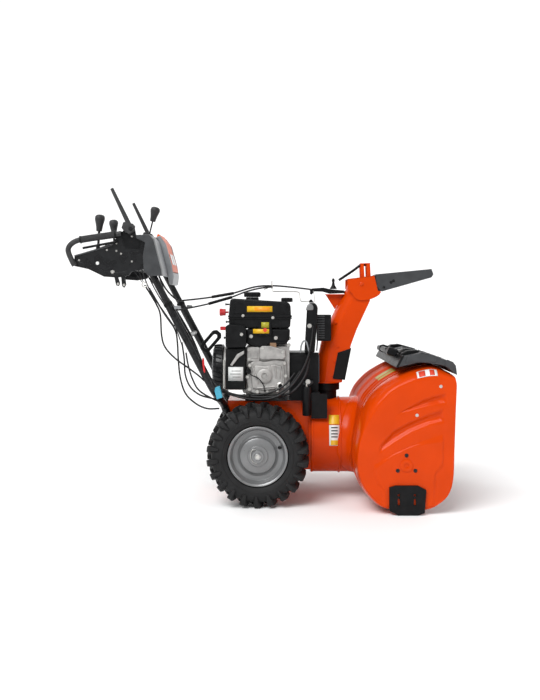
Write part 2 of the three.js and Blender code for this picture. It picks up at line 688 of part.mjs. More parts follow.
// A round knob on a stem, standing on its pivot.
function knobLever(pivot, top, stem, knob) {
  const a = new THREE.Vector3(...pivot);
  const b = new THREE.Vector3(...top);
  const along = b.clone().sub(a).normalize();
  const at = (distance) => b.clone().addScaledVector(along, -distance).toArray();
  const profile = [
    [0, -knob], [11, -knob], [14, -knob * 0.6], [20, -knob * 0.25], [17, -knob * 0.08], [9, 0], [0, 0],
  ];
  const head = turned(profile, top, along.toArray(), 16);
  return join(rod(pivot, at(knob - 4), stem, 10), head);
}

function control_panel() {
  const outline = [
    [-705, 945], [-705, 966], [-566, 1008], [-500, 1034], [-448, 1018], [-451, 930], [-500, 920],
    [-560, 902], [-650, 925],
  ];
  const room = [[-701, 900], [-701, 963], [-565, 1004], [-501, 1029], [-452, 1014], [-455, 880]];
  const width = 252;
  const slots = [-LEVER_Y, LEVER_Y].map((y) => block(-672, -606, y - 9, y + 9, 960, 1020));
  const middleSlot = block(-492, -440, -26, 26, 1000, 1045);
  const shell = cut(plate(outline, -width, width), plate(room, -width + 4, width - 4), ...slots, middleSlot);
  add("control_panel", shell, BLACK);
  const stem = 5;
  const far = [-640, LEVER_Y, 950];
  const near = [-640, -LEVER_Y, 950];
  add("speed_lever", knobLever(near, [-628, -LEVER_Y, 1140], stem, 66), BLACK);
  add("deflector_lever", knobLever(far, [-646, LEVER_Y, 1155], stem, 66), BLACK);
}

function console() {
  const outline = [
    [-422, 1055], [-404, 1037], [-374, 919], [-371, 897], [-422, 897], [-442, 915],
    [-446, 971], [-437, 1026], [-470, 1040], [-474, 1053],
  ];
  const room = [
    [-424, 1050], [-408.5, 1035], [-378, 918], [-376, 880],
    [-440, 880], [-441, 971], [-433, 1030], [-466, 1043],
  ];
  const slot = block(-484, -440, -26, 26, 1030, 1070);
  const beside = BRACKET.map(([x, z]) => [x < -500 ? x : x + 2, z + 1.5]);
  const brackets = [[-262, -248], [248, 262]].map(([y0, y1]) => plate(beside, y0, y1));
  const tubes = [-1, 1].map((side) => {
    const [ax, , az] = onTube(850);
    const [bx, , bz] = onTube(960);
    return rod([ax, side * HANDLE_Y, az], [bx, side * HANDLE_Y, bz], TUBE.upper + 1, 12);
  });
  const shell = cut(plate(outline, -285, 285), plate(room, -281, 281), slot, ...brackets, ...tubes);
  add("console_shell", shell, SILVER);
  const insert = [
    [-421, 1056.6], [-414, 1075], [-385, 1038], [-357, 944], [-350, 917], [-372.8, 917], [-403.4, 1037.4],
  ];
  add("headlight_panel", plate(insert, -102, 102), ORANGE);
  add("chute_lever", knobLever([-474, 0, 1024], [-434, 0, 1190], 4, 62), BLACK);
}

// ---------- cables ----------

function cables() {
  const harness = [
    [-432, -216, 890], [-352, -216, 800], [-268, -216, 660], [-212, -190, 520], [-170, -172, 470],
    [-120, -172, 434], [-40, -172, 420], [60, -172, 420], [130, -168, 440], [180, -160, 500], [198, -146, 570],
  ];
  add("wiring_harness", pipe(harness, 4.5, 32, 8), BLACK);
  const chuteCable = [
    [-338, 26, 800], [-230, 25, 812], [-130, 22, 828], [-25, 20, 858],
    [50, 15, 863], [120, 8, 858], [165, 4, 853], [213, 0, 847],
  ];
  add("chute_cable", pipe(chuteCable, 4, 24, 8), BLACK);
}

auger_housing();
side_plates();
scraper();
skids();
housing_cover();
auger();
auger_gearbox();
impeller();
impeller_drum();
belt_drive();
belt_cover();
chassis();
wheels();
engine_block();
fuel_tank();
engine_fittings();
starter_handle();
chute();
chute_neck();
deflector();
control_column();
handle_tubes();
grips();
control_panel();
console();
cables();

export default machine;
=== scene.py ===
import json
import math

import bmesh
import bpy
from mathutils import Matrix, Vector


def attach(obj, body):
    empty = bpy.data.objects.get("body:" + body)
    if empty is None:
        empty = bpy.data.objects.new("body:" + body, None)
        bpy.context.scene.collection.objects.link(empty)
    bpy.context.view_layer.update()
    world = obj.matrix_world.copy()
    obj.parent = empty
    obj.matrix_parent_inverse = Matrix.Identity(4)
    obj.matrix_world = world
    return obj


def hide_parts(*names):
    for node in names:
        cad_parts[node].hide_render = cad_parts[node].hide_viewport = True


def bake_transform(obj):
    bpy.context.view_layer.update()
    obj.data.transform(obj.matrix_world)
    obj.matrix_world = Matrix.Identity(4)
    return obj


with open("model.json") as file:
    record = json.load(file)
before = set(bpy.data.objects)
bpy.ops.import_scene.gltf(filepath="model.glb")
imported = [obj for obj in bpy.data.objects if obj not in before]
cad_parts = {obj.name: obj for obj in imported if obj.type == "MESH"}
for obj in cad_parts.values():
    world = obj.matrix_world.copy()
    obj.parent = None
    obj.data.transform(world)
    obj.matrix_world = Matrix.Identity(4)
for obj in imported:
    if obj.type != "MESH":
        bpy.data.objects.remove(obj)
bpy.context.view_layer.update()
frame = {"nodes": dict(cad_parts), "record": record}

scene = bpy.context.scene
MM = 0.001
BODY_OF = {n: body for body, nodes in frame["record"]["behaviour"]["bodies"].items() for n in nodes}
SLOT_OF = {part["node"]: part["material_slot"] for part in frame["record"]["subparts"]}


# ---------------------------------------------------------------- materials

def material(name, colour, rough, metal=0.0, shift=0.12, grain=60.0, bump=0.15, bump_size=400.0,
             coat=0.0, rough_shift=0.12, gloss=0.5):
    """Principled surface whose colour, roughness and height vary with noise of its own scale."""
    made = bpy.data.materials.new(name)
    made.use_nodes = True
    tree = made.node_tree
    shader = tree.nodes["Principled BSDF"]
    shader.inputs["Metallic"].default_value = metal
    shader.inputs["Coat Weight"].default_value = coat
    shader.inputs["Specular IOR Level"].default_value = gloss
    shader.inputs["Coat Roughness"].default_value = 0.08
    place = tree.nodes.new("ShaderNodeTexCoord")
    clouds = tree.nodes.new("ShaderNodeTexNoise")
    clouds.inputs["Scale"].default_value = grain
    clouds.inputs["Detail"].default_value = 5.0
    tree.links.new(place.outputs["Object"], clouds.inputs["Vector"])
    tones = tree.nodes.new("ShaderNodeValToRGB")
    low, high = tones.color_ramp.elements
    low.position, high.position = 0.32, 0.68
    low.color = [c * (1 - shift) for c in colour] + [1]
    high.color = [min(1, c * (1 + shift)) for c in colour] + [1]
    tree.links.new(clouds.outputs["Fac"], tones.inputs["Fac"])
    tree.links.new(tones.outputs["Color"], shader.inputs["Base Color"])
    spread = tree.nodes.new("ShaderNodeMapRange")
    spread.inputs["To Min"].default_value = max(0.02, rough - rough_shift)
    spread.inputs["To Max"].default_value = min(1, rough + rough_shift)
    tree.links.new(clouds.outputs["Fac"], spread.inputs["Value"])
    tree.links.new(spread.outputs["Result"], shader.inputs["Roughness"])
    fine = tree.nodes.new("ShaderNodeTexNoise")
    fine.inputs["Scale"].default_value = bump_size
    fine.inputs["Detail"].default_value = 3.0
    tree.links.new(place.outputs["Object"], fine.inputs["Vector"])
    relief = tree.nodes.new("ShaderNodeBump")
    relief.inputs["Strength"].default_value = bump
    relief.inputs["Distance"].default_value = 0.001
    tree.links.new(fine.outputs["Fac"], relief.inputs["Height"])
    tree.links.new(relief.outputs["Normal"], shader.inputs["Normal"])
    return made


LOOKS = {
    "orange_paint": material("orange_paint", (0.58, 0.047, 0.0006), 0.2, 0.0, 0.05, 9, 0.04, 700, 0.06, 0.05,
                             0.1),
    "orange_plastic": material("orange_plastic", (0.74, 0.095, 0.003), 0.34, 0.0, 0.05, 14, 0.06, 900, 0.05,
                               0.06, 0.08),
    "black_plastic": material("black_plastic", (0.0065, 0.0068, 0.0074), 0.4, 0.0, 0.3, 40, 0.3, 1400, 0.0,
                              0.12, 0.14),
    "black_steel": material("black_steel", (0.0095, 0.01, 0.011), 0.28, 0.0, 0.25, 30, 0.12, 900, 0.1, 0.1,
                            0.26),
    "grey_plastic": material("grey_plastic", (0.038, 0.040, 0.043), 0.36, 0.0, 0.15, 30, 0.3, 1300, 0.0, 0.1,
                             0.4),
    "silver_plastic": material("silver_plastic", (0.24, 0.25, 0.262), 0.36, 0.1, 0.08, 25, 0.1, 1200),
    "silver_paint": material("silver_paint", (0.20, 0.203, 0.206), 0.33, 0.4, 0.06, 20, 0.08, 1200, 0.1),
    "bare_steel": material("bare_steel", (0.45, 0.45, 0.45), 0.3, 0.95, 0.12, 60, 0.15, 600),
    "cast_aluminium": material("cast_aluminium", (0.38, 0.372, 0.36), 0.48, 0.5, 0.22, 35, 0.6, 420),
    "tyre_rubber": material("tyre_rubber", (0.0095, 0.0095, 0.010), 0.66, 0.0, 0.35, 26, 0.35, 500, 0.0, 0.12,
                            0.3),
    "belt_rubber": material("belt_rubber", (0.02, 0.02, 0.02), 0.8, 0.0, 0.3, 80, 0.4, 800),
    "cable_jacket": material("cable_jacket", (0.009, 0.009, 0.010), 0.4, 0.0, 0.2, 60, 0.1, 900, 0.0, 0.12,
                             0.35),
    "red_plastic": material("red_plastic", (0.5, 0.012, 0.015), 0.35, 0.0, 0.12, 40, 0.1, 800),
}
ZINC = material("zinc_fasteners", (0.62, 0.61, 0.58), 0.32, 0.85, 0.1, 80, 0.1, 700)
WHITE_LABEL = material("white_label", (0.72, 0.73, 0.72), 0.4, 0.0, 0.06, 90, 0.03, 700)
YELLOW_LABEL = material("yellow_label", (0.72, 0.42, 0.012), 0.38, 0.0, 0.08, 90, 0.03, 700)
GREEN_LABEL = material("green_label", (0.36, 0.33, 0.015), 0.4, 0.0, 0.12, 90, 0.03, 700)
RED_LABEL = material("red_label", (0.62, 0.05, 0.02), 0.4, 0.0, 0.1, 90, 0.03, 700)
BLUE_CLIP = material("blue_clip", (0.05, 0.33, 0.47), 0.42, 0.0, 0.1, 70, 0.1, 700)
FOAM = material("foam_grip", (0.030, 0.030, 0.031), 0.78, 0.0, 0.3, 120, 0.6, 1500, 0.0, 0.12, 0.3)
SOFT_BLACK = material("soft_black", (0.028, 0.028, 0.029), 0.5, 0.0, 0.25, 60, 0.3, 1300, 0.0, 0.12, 0.35)
# A copy of orange_paint with less gloss for the back of the housing; its slightly darker colour is painted
# shade.
SHADED_BACK_ORANGE = material("orange_paint_back_shaded", (0.55, 0.042, 0.0005), 0.42, 0.0, 0.05, 9, 0.04, 700, 0.0, 0.05,
                       0.05)
HEADLIGHT_GLASS = material("headlight_glass", (0.30, 0.32, 0.34), 0.14, 0.0, 0.05, 60, 0.05, 500, 0.5, 0.05)
AMBER_LABEL = material("amber_label", (0.9, 0.33, 0.01), 0.4, 0.0, 0.08, 90, 0.03, 700)
BRASS = material("brass", (0.28, 0.17, 0.10), 0.42, 0.5, 0.12, 60, 0.2, 500)


# ---------------------------------------------------------------- piece tools

def place(name, mesh, body, look, slot_name=None):
    piece = bpy.data.objects.new(name, mesh)
    scene.collection.objects.link(piece)
    mesh.materials.clear()
    mesh.materials.append(look)
    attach(piece, body)
    return piece


def soften(piece, width, segments=2, angle=35.0):
    bevel = piece.modifiers.new("edges", "BEVEL")
    bevel.width = width
    bevel.segments = segments
    bevel.limit_method = "ANGLE"
    bevel.angle_limit = math.radians(angle)
    bevel.harden_normals = True
    return piece


def smooth(mesh, angle=35.0):
    for face in mesh.polygons:
        face.use_smooth = True
    mesh.set_sharp_from_angle(angle=math.radians(angle))


def mesh_from(name, vertices, faces, angle=35.0):
    mesh = bpy.data.meshes.new(name)
    mesh.from_pydata([tuple(v) for v in vertices], [], faces)
    work = bmesh.new()
    work.from_mesh(mesh)
    bmesh.ops.remove_doubles(work, verts=work.verts, dist=1e-6)
    bmesh.ops.recalc_face_normals(work, faces=work.faces)
    work.to_mesh(mesh)
    work.free()
    smooth(mesh, angle)
    return mesh


def refined(node, bevel=1.2, look=None, angle=35.0, segments=2):
    """The CAD node's own shape with rounded edges and smooth round faces."""
    mesh = frame["nodes"][node].data.copy()
    work = bmesh.new()
    work.from_mesh(mesh)
    bmesh.ops.remove_doubles(work, verts=work.verts, dist=2e-5)
    bmesh.ops.dissolve_limit(work, angle_limit=math.radians(0.6), verts=work.verts, edges=work.edges)
    bmesh.ops.recalc_face_normals(work, faces=work.faces)
    work.to_mesh(mesh)
    work.free()
    smooth(mesh, angle)
    slot_name = SLOT_OF[node]
    piece = place(node + "_skin", mesh, BODY_OF[node], look or LOOKS[slot_name], slot_name)
    if bevel:
        soften(piece, bevel * MM, segments, angle)
    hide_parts(node)
    return piece


def prism(name, outline, y0, y1, body, look, bevel=1.0, segments=2):
    """An X-Z outline in millimetres, with thickness along Y."""
    count = len(outline)
    vertices = [(x * MM, y * MM, z * MM) for y in (y0, y1) for x, z in outline]
    faces = [list(range(count)), list(range(count, 2 * count))]
    faces += [[i, (i + 1) % count, count + (i + 1) % count, count + i] for i in range(count)]
    piece = place(name, mesh_from(name, vertices, faces), body, look)
    if bevel:
        soften(piece, bevel * MM, segments)
    return piece


def block(name, low, high, body, look, bevel=1.0, segments=2):
    (x0, y0, z0), (x1, y1, z1) = low, high
    return prism(name, [(x0, z0), (x1, z0), (x1, z1), (x0, z1)], y0, y1, body, look, bevel, segments)


def turned_mesh(name, profile, base, axis, sides=48, angle=35.0):
    """Profile points are (radius, height) in millimetres, along the axis from the base."""
    turn = Vector((0, 0, 1)).rotation_difference(Vector(axis)).to_matrix()
    base = Vector(base)
    vertices = []
    faces = []
    rings = []
    for r, h in profile:
        ring = []
        steps = 1 if r < 1e-6 else sides
        for i in range(steps):
            a = 2 * math.pi * i / sides
            ring.append(len(vertices))
            vertices.append((base + turn @ Vector((r * math.cos(a), r * math.sin(a), h))) * MM)
        rings.append(ring)
    for low, high in zip(rings, rings[1:]):
        for i in range(sides):
            j = (i + 1) % sides
            corners = [low[i % len(low)], low[j % len(low)], high[j % len(high)], high[i % len(high)]]
            face = list(dict.fromkeys(corners))
            if len(face) > 2:
                faces.append(face)
    return mesh_from(name, vertices, faces, angle)


def turned(name, profile, base, axis, body, look, sides=48, bevel=0.0, angle=35.0):
    piece = place(name, turned_mesh(name, profile, base, axis, sides, angle), body, look)
    if bevel:
        soften(piece, bevel * MM, 2, angle)
    return piece


def spline(points, per_span=8):
    """A smooth line through the points, as a list of Vectors."""
    pts = [Vector(p) for p in points]
    ends = [pts[0] * 2 - pts[1]] + pts + [pts[-1] * 2 - pts[-2]]
    line = []
    for i in range(1, len(ends) - 2):
        p0, p1, p2, p3 = ends[i - 1:i + 3]
        for k in range(per_span):
            t = k / per_span
            line.append(0.5 * (2 * p1 + (p2 - p0) * t + (2 * p0 - 5 * p1 + 4 * p2 - p3) * t * t
                               + (3 * p1 - p0 - 3 * p2 + p3) * t ** 3))
    line.append(pts[-1])
    return line


def tube_mesh(name, line, radius, sides=16):
    """A round tube along a line; radius is a number or one for each point. The ends are closed with flat
    caps.
    """
    vertices = []
    faces = []
    up = None
    count = len(line)
    radii = [radius] * count if isinstance(radius, (int, float)) else radius
    for i, p in enumerate(line):
        along = (line[min(i + 1, count - 1)] - line[max(i - 1, 0)]).normalized()
        if up is None:
            up = along.orthogonal().normalized()
        up = (up - along * up.dot(along)).normalized()
        side = along.cross(up)
        for k in range(sides):
            a = 2 * math.pi * k / sides
            vertices.append((p + (up * math.cos(a) + side * math.sin(a)) * radii[i]) * MM)
    for i in range(count - 1):
        for k in range(sides):
            m = (k + 1) % sides
            faces.append([i * sides + k, i * sides + m, (i + 1) * sides + m, (i + 1) * sides + k])
    faces.append(list(range(sides)))
    faces.append([(count - 1) * sides + k for k in range(sides)])
    return mesh_from(name, vertices, faces, 50)


def tube(name, points, radius, body, look, sides=16, per_span=8):
    return place(name, tube_mesh(name, spline(points, per_span), radius, sides), body, look)


def bolts(name, places, axis, radius, body, look=ZINC, height=None, washer=True):
    """Hexagon heads, each on a washer, as one piece; places are the points where they sit."""
    height = height or radius * 0.7
    vertices = []
    faces = []
    turn = Vector((0, 0, 1)).rotation_difference(Vector(axis)).to_matrix()
    rings = [(radius * 0.92, 0.9, 6), (radius, 1.3, 6), (radius, height * 0.8, 6), (radius * 0.85, height, 6)]
    plate = [(radius * 1.35, 0.0, 20), (radius * 1.35, 0.9, 20)]
    for at in places:
        for stack in ([plate] if washer else []) + [rings]:
            start = len(vertices)
            sides = stack[0][2]
            for r, h, _ in stack:
                for k in range(sides):
                    a = 2 * math.pi * k / sides
                    vertices.append((Vector(at) + turn @ Vector((r * math.cos(a), r * math.sin(a), h))) * MM)
            for i in range(len(stack) - 1):
                for k in range(sides):
                    m = (k + 1) % sides
                    faces.append([start + i * sides + k, start + i * sides + m,
                                  start + (i + 1) * sides + m, start + (i + 1) * sides + k])
            faces.append([start + k for k in range(sides)][::-1])
            faces.append([start + (len(stack) - 1) * sides + k for k in range(sides)])
    mesh = bpy.data.meshes.new(name)
    mesh.from_pydata([tuple(v) for v in vertices], [], faces)
    smooth(mesh, 30)
    return place(name, mesh, body, look)


def smoothstep(low, high, value):
    t = max(0.0, min(1.0, (value - low) / (high - low)))
    return t * t * (3 - 2 * t)


def inside_depth(point, outline):
    """Signed distance from a point to a closed outline, positive inside, in the outline's units."""
    x, z = point
    best = 1e9
    inside = False
    for (ax, az), (bx, bz) in zip(outline, outline[1:] + outline[:1]):
        dx, dz = bx - ax, bz - az
        t = max(0.0, min(1.0, ((x - ax) * dx + (z - az) * dz) / (dx * dx + dz * dz)))
        best = min(best, math.hypot(x - ax - dx * t, z - az - dz * t))
        if (az > z) != (bz > z) and x < ax + (z - az) * dx / dz:
            inside = not inside
    return best if inside else -best


# ---------------------------------------------------------------- camera, light and floor

def camera():
    data = bpy.data.cameras.new("camera")
    data.lens = 47.0
    data.sensor_fit = "VERTICAL"
    data.sensor_height = 36
    data.shift_x = -0.0071
    data.shift_y = -0.0714
    seen = bpy.data.objects.new("camera", data)
    seen.location = (0.0605, -3.8, 0.8035)
    seen.rotation_euler = (math.radians(90), 0, 0)
    scene.collection.objects.link(seen)
    scene.camera = seen


def lamp(name, at, aim, size, power, colour=(1, 1, 1)):
    data = bpy.data.lights.new(name, "AREA")
    data.shape = "RECTANGLE"
    data.size, data.size_y = size
    data.energy = power
    data.color = colour
    made = bpy.data.objects.new(name, data)
    made.location = at
    made.rotation_euler = (Vector(aim) - Vector(at)).to_track_quat("-Z", "Y").to_euler()
    scene.collection.objects.link(made)


def studio():
    data = bpy.data.lights.new("sun", "SUN")
    data.energy = 2.1
    data.angle = math.radians(38)
    sun = bpy.data.objects.new("sun", data)
    sun.rotation_euler = Vector((0.45, 0.72, -0.95)).to_track_quat("-Z", "Y").to_euler()
    scene.collection.objects.link(sun)
    lamp("key", (-1.4, -2.6, 3.0), (0.1, 0, 0.5), (1.6, 1.2), 26)
    lamp("side", (3.0, -2.2, 1.6), (0.2, 0, 0.5), (0.7, 2.2), 16)
    lamp("rim", (-2.4, 2.2, 2.6), (0, 0, 0.6), (1.8, 2.2), 20)
    world = bpy.data.worlds.new("studio")
    world.use_nodes = True
    world.node_tree.nodes["Background"].inputs["Color"].default_value = (1, 1, 1, 1)
    world.node_tree.nodes["Background"].inputs["Strength"].default_value = 0.5
    scene.world = world
    bend = 3.0
    sweep = [(-14, 0.0), (-6, 0.0), (0, 0.0), (4, 0.0)]
    sweep += [(4 + bend * math.sin(math.radians(a)), bend * (1 - math.cos(math.radians(a))))
              for a in range(6, 91, 6)]
    sweep.append((4 + bend, 11.0))
    vertices = [(x, y, z) for y, z in sweep for x in (-15, 15)]
    faces = [[2 * i, 2 * i + 1, 2 * i + 3, 2 * i + 2] for i in range(len(sweep) - 1)]
    mesh = bpy.data.meshes.new("floor")
    mesh.from_pydata(vertices, [], faces)
    smooth(mesh, 60)
    floor = bpy.data.objects.new("floor", mesh)
    scene.collection.objects.link(floor)
    mesh.materials.append(material("floor", (0.95, 0.95, 0.95), 0.8, 0.0, 0.01, 2, 0.0, 50, 0, 0.05))
    floor.location.z = -0.0005
    scene.view_settings.view_transform = "Standard"


camera()
studio()


# ---------------------------------------------------------------- wheels

WHEEL_X, WHEEL_Z, WHEEL_Y = -6, 200, 215
TYRE_HALF, LUGS = 80, 22


def tyre_profile(h):
    """Carcass radius at a distance h from the tyre's middle, in millimetres."""
    return 182 - 14 * abs(h / TYRE_HALF) ** 3.2


def carcass_profile():
    side = [(118, 60), (121, 68), (130, 73), (143, 75.5), (156, 73.5), (166, 70)]
    tread = [(tyre_profile(h), h) for h in range(60, -61, -10)]
    back = [(r, -h) for r, h in reversed(side)]
    return side + tread + back + [(118, -60), (118, 60)]


LUG_OUTER = [(4, 200), (24, 200), (46, 200), (62, 198.5), (72, 193), (78.5, 183), (80.5, 168), (78.5, 154)]
LUG_INNER = [(4, 174), (24, 174), (46, 173), (57, 171), (61, 168), (65, 163), (68, 156), (69, 148)]
LUG_LEAD = [0.0, 0.5, 1.0, 1.4, 1.6, 1.7, 1.75, 1.75]


def lug_mesh(name, centre_y):
    """Chevron tread blocks in two staggered rows, each running over the shoulder on to the side wall."""
    vertices = []
    faces = []
    for side in (-1, 1):
        for i in range(LUGS):
            middle = 2 * math.pi * (i + (0.25 if side > 0 else -0.25)) / LUGS
            start = len(vertices)
            for n, (outer, inner) in enumerate(zip(LUG_OUTER, LUG_INNER)):
                width = (16, 19, 23, 25, 24, 21, 18, 14)[n] - (4 * (i % 2) if n > 4 else 0)
                centre = middle + LUG_LEAD[n] * 0.06
                for share, spread in ((1.0, width + 6), (0.12, width), (0.0, width - 4)):
                    h = outer[0] + (inner[0] - outer[0]) * share
                    r = outer[1] + (inner[1] - outer[1]) * share
                    for sign in (-1, 1):
                        a = centre + sign * spread / 2 / 190
                        vertices.append((WHEEL_X + r * math.sin(a), centre_y + side * h,
                                         WHEEL_Z + r * math.cos(a)))
            section = [0, 2, 4, 5, 3, 1]
            for n in range(len(LUG_OUTER) - 1):
                a, b = start + n * 6, start + (n + 1) * 6
                for k in range(6):
                    m = (k + 1) % 6
                    faces.append([a + section[k], a + section[m], b + section[m], b + section[k]])
            faces.append([start + k for k in section])
            faces.append([start + (len(LUG_OUTER) - 1) * 6 + k for k in section])
    return mesh_from(name, [Vector(v) * MM for v in vertices], faces, 28)


def wheel(side, sign):
    y = sign * WHEEL_Y
    body = side + "_wheel"
    tyre = turned(side + "_tyre_carcass", carcass_profile(), (WHEEL_X, y, WHEEL_Z), (0, sign, 0),
                  body, LOOKS["tyre_rubber"], 96)
    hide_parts(side + "_tyre")
    lugs = place(side + "_tyre_tread", lug_mesh(side + "_tread", y), body, LOOKS["tyre_rubber"],
                 "tyre_rubber")
    soften(lugs, 1.1 * MM, 2, 30)
    ribs = [(136 + 5 * k / 6, 73.2 + 2.8 * math.sin(math.pi * k / 6)) for k in range(7)]
    turned(side + "_tyre_rib", ribs + [(136, 72)], (WHEEL_X, y, WHEEL_Z), (0, sign, 0), body,
           LOOKS["tyre_rubber"], 96)
    dish = [
        (13.2, 68), (13.2, 72), (23, 72), (24, 70), (24, 61), (38, 59), (40, 57), (40, 52), (62, 49),
        (68, 46), (73, 39), (80, 35), (92, 34), (98, 36), (101, 42), (104, 58), (107, 65), (111, 68),
        (114, 69), (116, 68), (116.4, 64), (114, 60), (114, -60), (116.4, -64), (116, -68), (112, -69),
        (108, -60), (108, 20), (100, 27), (82, 28), (66, 41), (26, 43), (26, -40), (13.2, -40), (13.2, 68),
    ]
    rim = turned(side + "_rim_pressing", dish, (WHEEL_X, y, WHEEL_Z), (0, sign, 0), body,
                 LOOKS["silver_paint"], 96, 0.5, 24)
    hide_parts(side + "_rim")
    refined(side + "_half_axle", 0.8)
    bolts(side + "_hub_bolt", [(WHEEL_X, y + sign * 72, WHEEL_Z)], (0, sign, 0), 9, body)
    turned(side + "_valve_stem", [(0, 0), (5.5, 0), (5.5, 6), (4, 8), (3.6, 24), (4.4, 25), (4.4, 31),
                                  (0, 32)],
           (WHEEL_X + 82, y + sign * 33, WHEEL_Z + 30), (0.25, sign, 0.1), body, LOOKS["black_plastic"], 20)
    tube(side + "_click_pin", [(WHEEL_X - 8, y + sign * 63, WHEEL_Z + 26),
                               (WHEEL_X - 22, y + sign * 64, WHEEL_Z + 24),
                               (WHEEL_X - 28, y + sign * 64, WHEEL_Z + 4),
                               (WHEEL_X - 20, y + sign * 64, WHEEL_Z - 18),
                               (WHEEL_X - 4, y + sign * 63, WHEEL_Z - 26)], 1.6, body, ZINC, 10)


wheel("right", -1)
wheel("left", 1)


# ---------------------------------------------------------------- auger housing

WRAP = [
    (625, 17), (482, 15), (423, 47), (381, 107), (363.5, 182), (365, 250), (375, 305),
    (390, 370), (410, 418), (440, 456), (480, 490), (545, 527), (600, 547), (660, 556), (737, 520),
]
PLATE_RIM = [
    (625, 19), (488, 24), (433, 58), (391, 113), (372, 182), (380, 262), (397, 315),
    (423, 360), (440, 388), (458, 412), (502, 458), (555, 486), (602, 500), (660, 508), (737, 507),
]
FRONT_EDGE = [(741, 503), (738, 430), (735, 355), (731, 240), (726, 131), (706, 71), (662, 33), (625, 19)]
PLATE_Y, SHOULDER = 381, 110
PANE = [
    (435, 179), (470, 204), (506, 226), (572, 256), (677, 286), (689, 283), (689, 187), (659, 152), (653, 30),
    (464, 30), (468, 92), (447, 116), (435, 146),
]
UPPER_RIB = [(515, 374), (560, 402), (610, 428), (660, 446), (700, 455), (703, 418), (640, 408), (580, 392)]
LOWER_RIB = [(447, 228), (455, 262), (500, 312), (560, 346), (630, 374), (693, 395), (694, 348), (640, 336),
             (570, 308), (505, 268)]


def sampled(points, per_span):
    return [(p.x, p.z) for p in spline([(x, 0, z) for x, z in points], per_span)]


def plate_relief(x, z):
    """How far the side plate stands out at a place, in millimetres."""
    pane = 4.0 * smoothstep(-2.5, 2.5, inside_depth((x, z), PANE))
    upper = -10.0 * smoothstep(-2, 14, inside_depth((x, z), UPPER_RIB))
    lower = -11.0 * smoothstep(-2, 17, inside_depth((x, z), LOWER_RIB))
    return pane + upper + lower


def side_plate(side, sign):
    rear_rim = sampled(PLATE_RIM, 7)
    rear_wrap = sampled(WRAP, 7)
    front = sampled(FRONT_EDGE, 7)[1:-1]
    rim = rear_rim + front
    wrap = rear_wrap + front
    count = len(rim)
    centre = (560, 255)
    layers = 72
    vertices = [(centre[0], sign * PLATE_Y, centre[1])]
    for n in range(1, layers + 1):
        t = n / layers
        for x, z in rim:
            px, pz = centre[0] + (x - centre[0]) * t, centre[1] + (z - centre[1]) * t
            vertices.append((px, sign * (PLATE_Y + plate_relief(px, pz) - 0.3), pz))
    bend = 14
    for n in range(1, bend + 1):
        a = math.pi / 2 * n / bend
        for i in range(count):
            (rx, rz), (wx, wz) = rim[i], wrap[i]
            behind = i < len(rear_rim)
            depth = SHOULDER if behind else 7
            y = PLATE_Y - depth * (1 - math.cos(a))
            x, z = rx + (wx - rx) * math.sin(a), rz + (wz - rz) * math.sin(a)
            vertices.append((x, sign * y, z))
    faces = [[0, 1 + i, 1 + (i + 1) % count] for i in range(count)]
    for n in range(layers + bend - 1):
        a, b = 1 + n * count, 1 + (n + 1) * count
        faces += [[a + i, a + (i + 1) % count, b + (i + 1) % count, b + i] for i in range(count)]
    mesh = mesh_from(side + "_side_plate_pressing", [Vector(v) * MM for v in vertices], faces, 60)
    piece = place(side + "_side_plate_pressing", mesh, "chassis", LOOKS["orange_paint"], "orange_paint")
    thick = piece.modifiers.new("sheet", "SOLIDIFY")
    thick.thickness = 2.4 * MM
    thick.offset = -1
    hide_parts(side + "_side_plate")


def wrap_beads(x, z, y):
    """Three pressed beads that run round the upper back of the housing, on each side of the drum."""
    along = smoothstep(372, 405, x) * (1 - smoothstep(520, 570, x))
    height = 0.0
    for centre, half, rise in ((0, 34, 7.0), (158, 18, 5.5), (216, 16, 4.5)):
        inset = abs(abs(y) - centre) / half
        height += rise * (1 - inset ** 2) ** 1.5 if inset < 1 else 0.0
    return height * along * smoothstep(380, 420, z)


def housing_wrap():
    line = spline([(x, 0, z) for x, z in WRAP], 10)
    reach = PLATE_Y - SHOULDER + 1
    columns = 96
    vertices = []
    for k in range(columns + 1):
        y = -reach + 2 * reach * k / columns
        for i, p in enumerate(line):
            ahead, behind = line[min(i + 1, len(line) - 1)], line[max(i - 1, 0)]
            along = (ahead - behind).normalized()
            outward = Vector((along.z, 0, -along.x)) * -1
            raise_by = wrap_beads(p.x, p.z, y)
            vertices.append((p.x + outward.x * raise_by, y, p.z + outward.z * raise_by))
    rows = len(line)
    faces = []
    for k in range(columns):
        for i in range(rows - 1):
            corners = [k * rows + i, k * rows + i + 1, (k + 1) * rows + i + 1, (k + 1) * rows + i]
            faces.append(corners)
    mesh = bpy.data.meshes.new("housing_wrap")
    mesh.from_pydata([tuple(Vector(v) * MM) for v in vertices], [], faces)
    smooth(mesh, 60)
    # The back of the housing takes the shaded copy of the paint, whose darker colour is painted shade.
    piece = place("auger_housing_pressing", mesh, "chassis", SHADED_BACK_ORANGE, "orange_paint")
    thick = piece.modifiers.new("sheet", "SOLIDIFY")
    thick.thickness = 2.6 * MM
    thick.offset = 0
    cutter_mesh = turned_mesh("outlet", [(0, 0), (DRUM_R - 2, 0), (DRUM_R - 2, 80), (0, 80)],
                              (340, 0, DRUM_Z), (1, 0, 0), 96)
    cutter = bpy.data.objects.new("outlet_cutter", cutter_mesh)
    scene.collection.objects.link(cutter)
    hole = piece.modifiers.new("outlet", "BOOLEAN")
    hole.operation = "DIFFERENCE"
    hole.object = cutter
    graph = bpy.context.evaluated_depsgraph_get()
    finished = bpy.data.meshes.new_from_object(piece.evaluated_get(graph))
    piece.modifiers.clear()
    piece.data = finished
    bpy.data.objects.remove(cutter)
    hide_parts("auger_housing")


DRUM_R, DRUM_Z, DRUM_X0 = 154, 248, 205.4


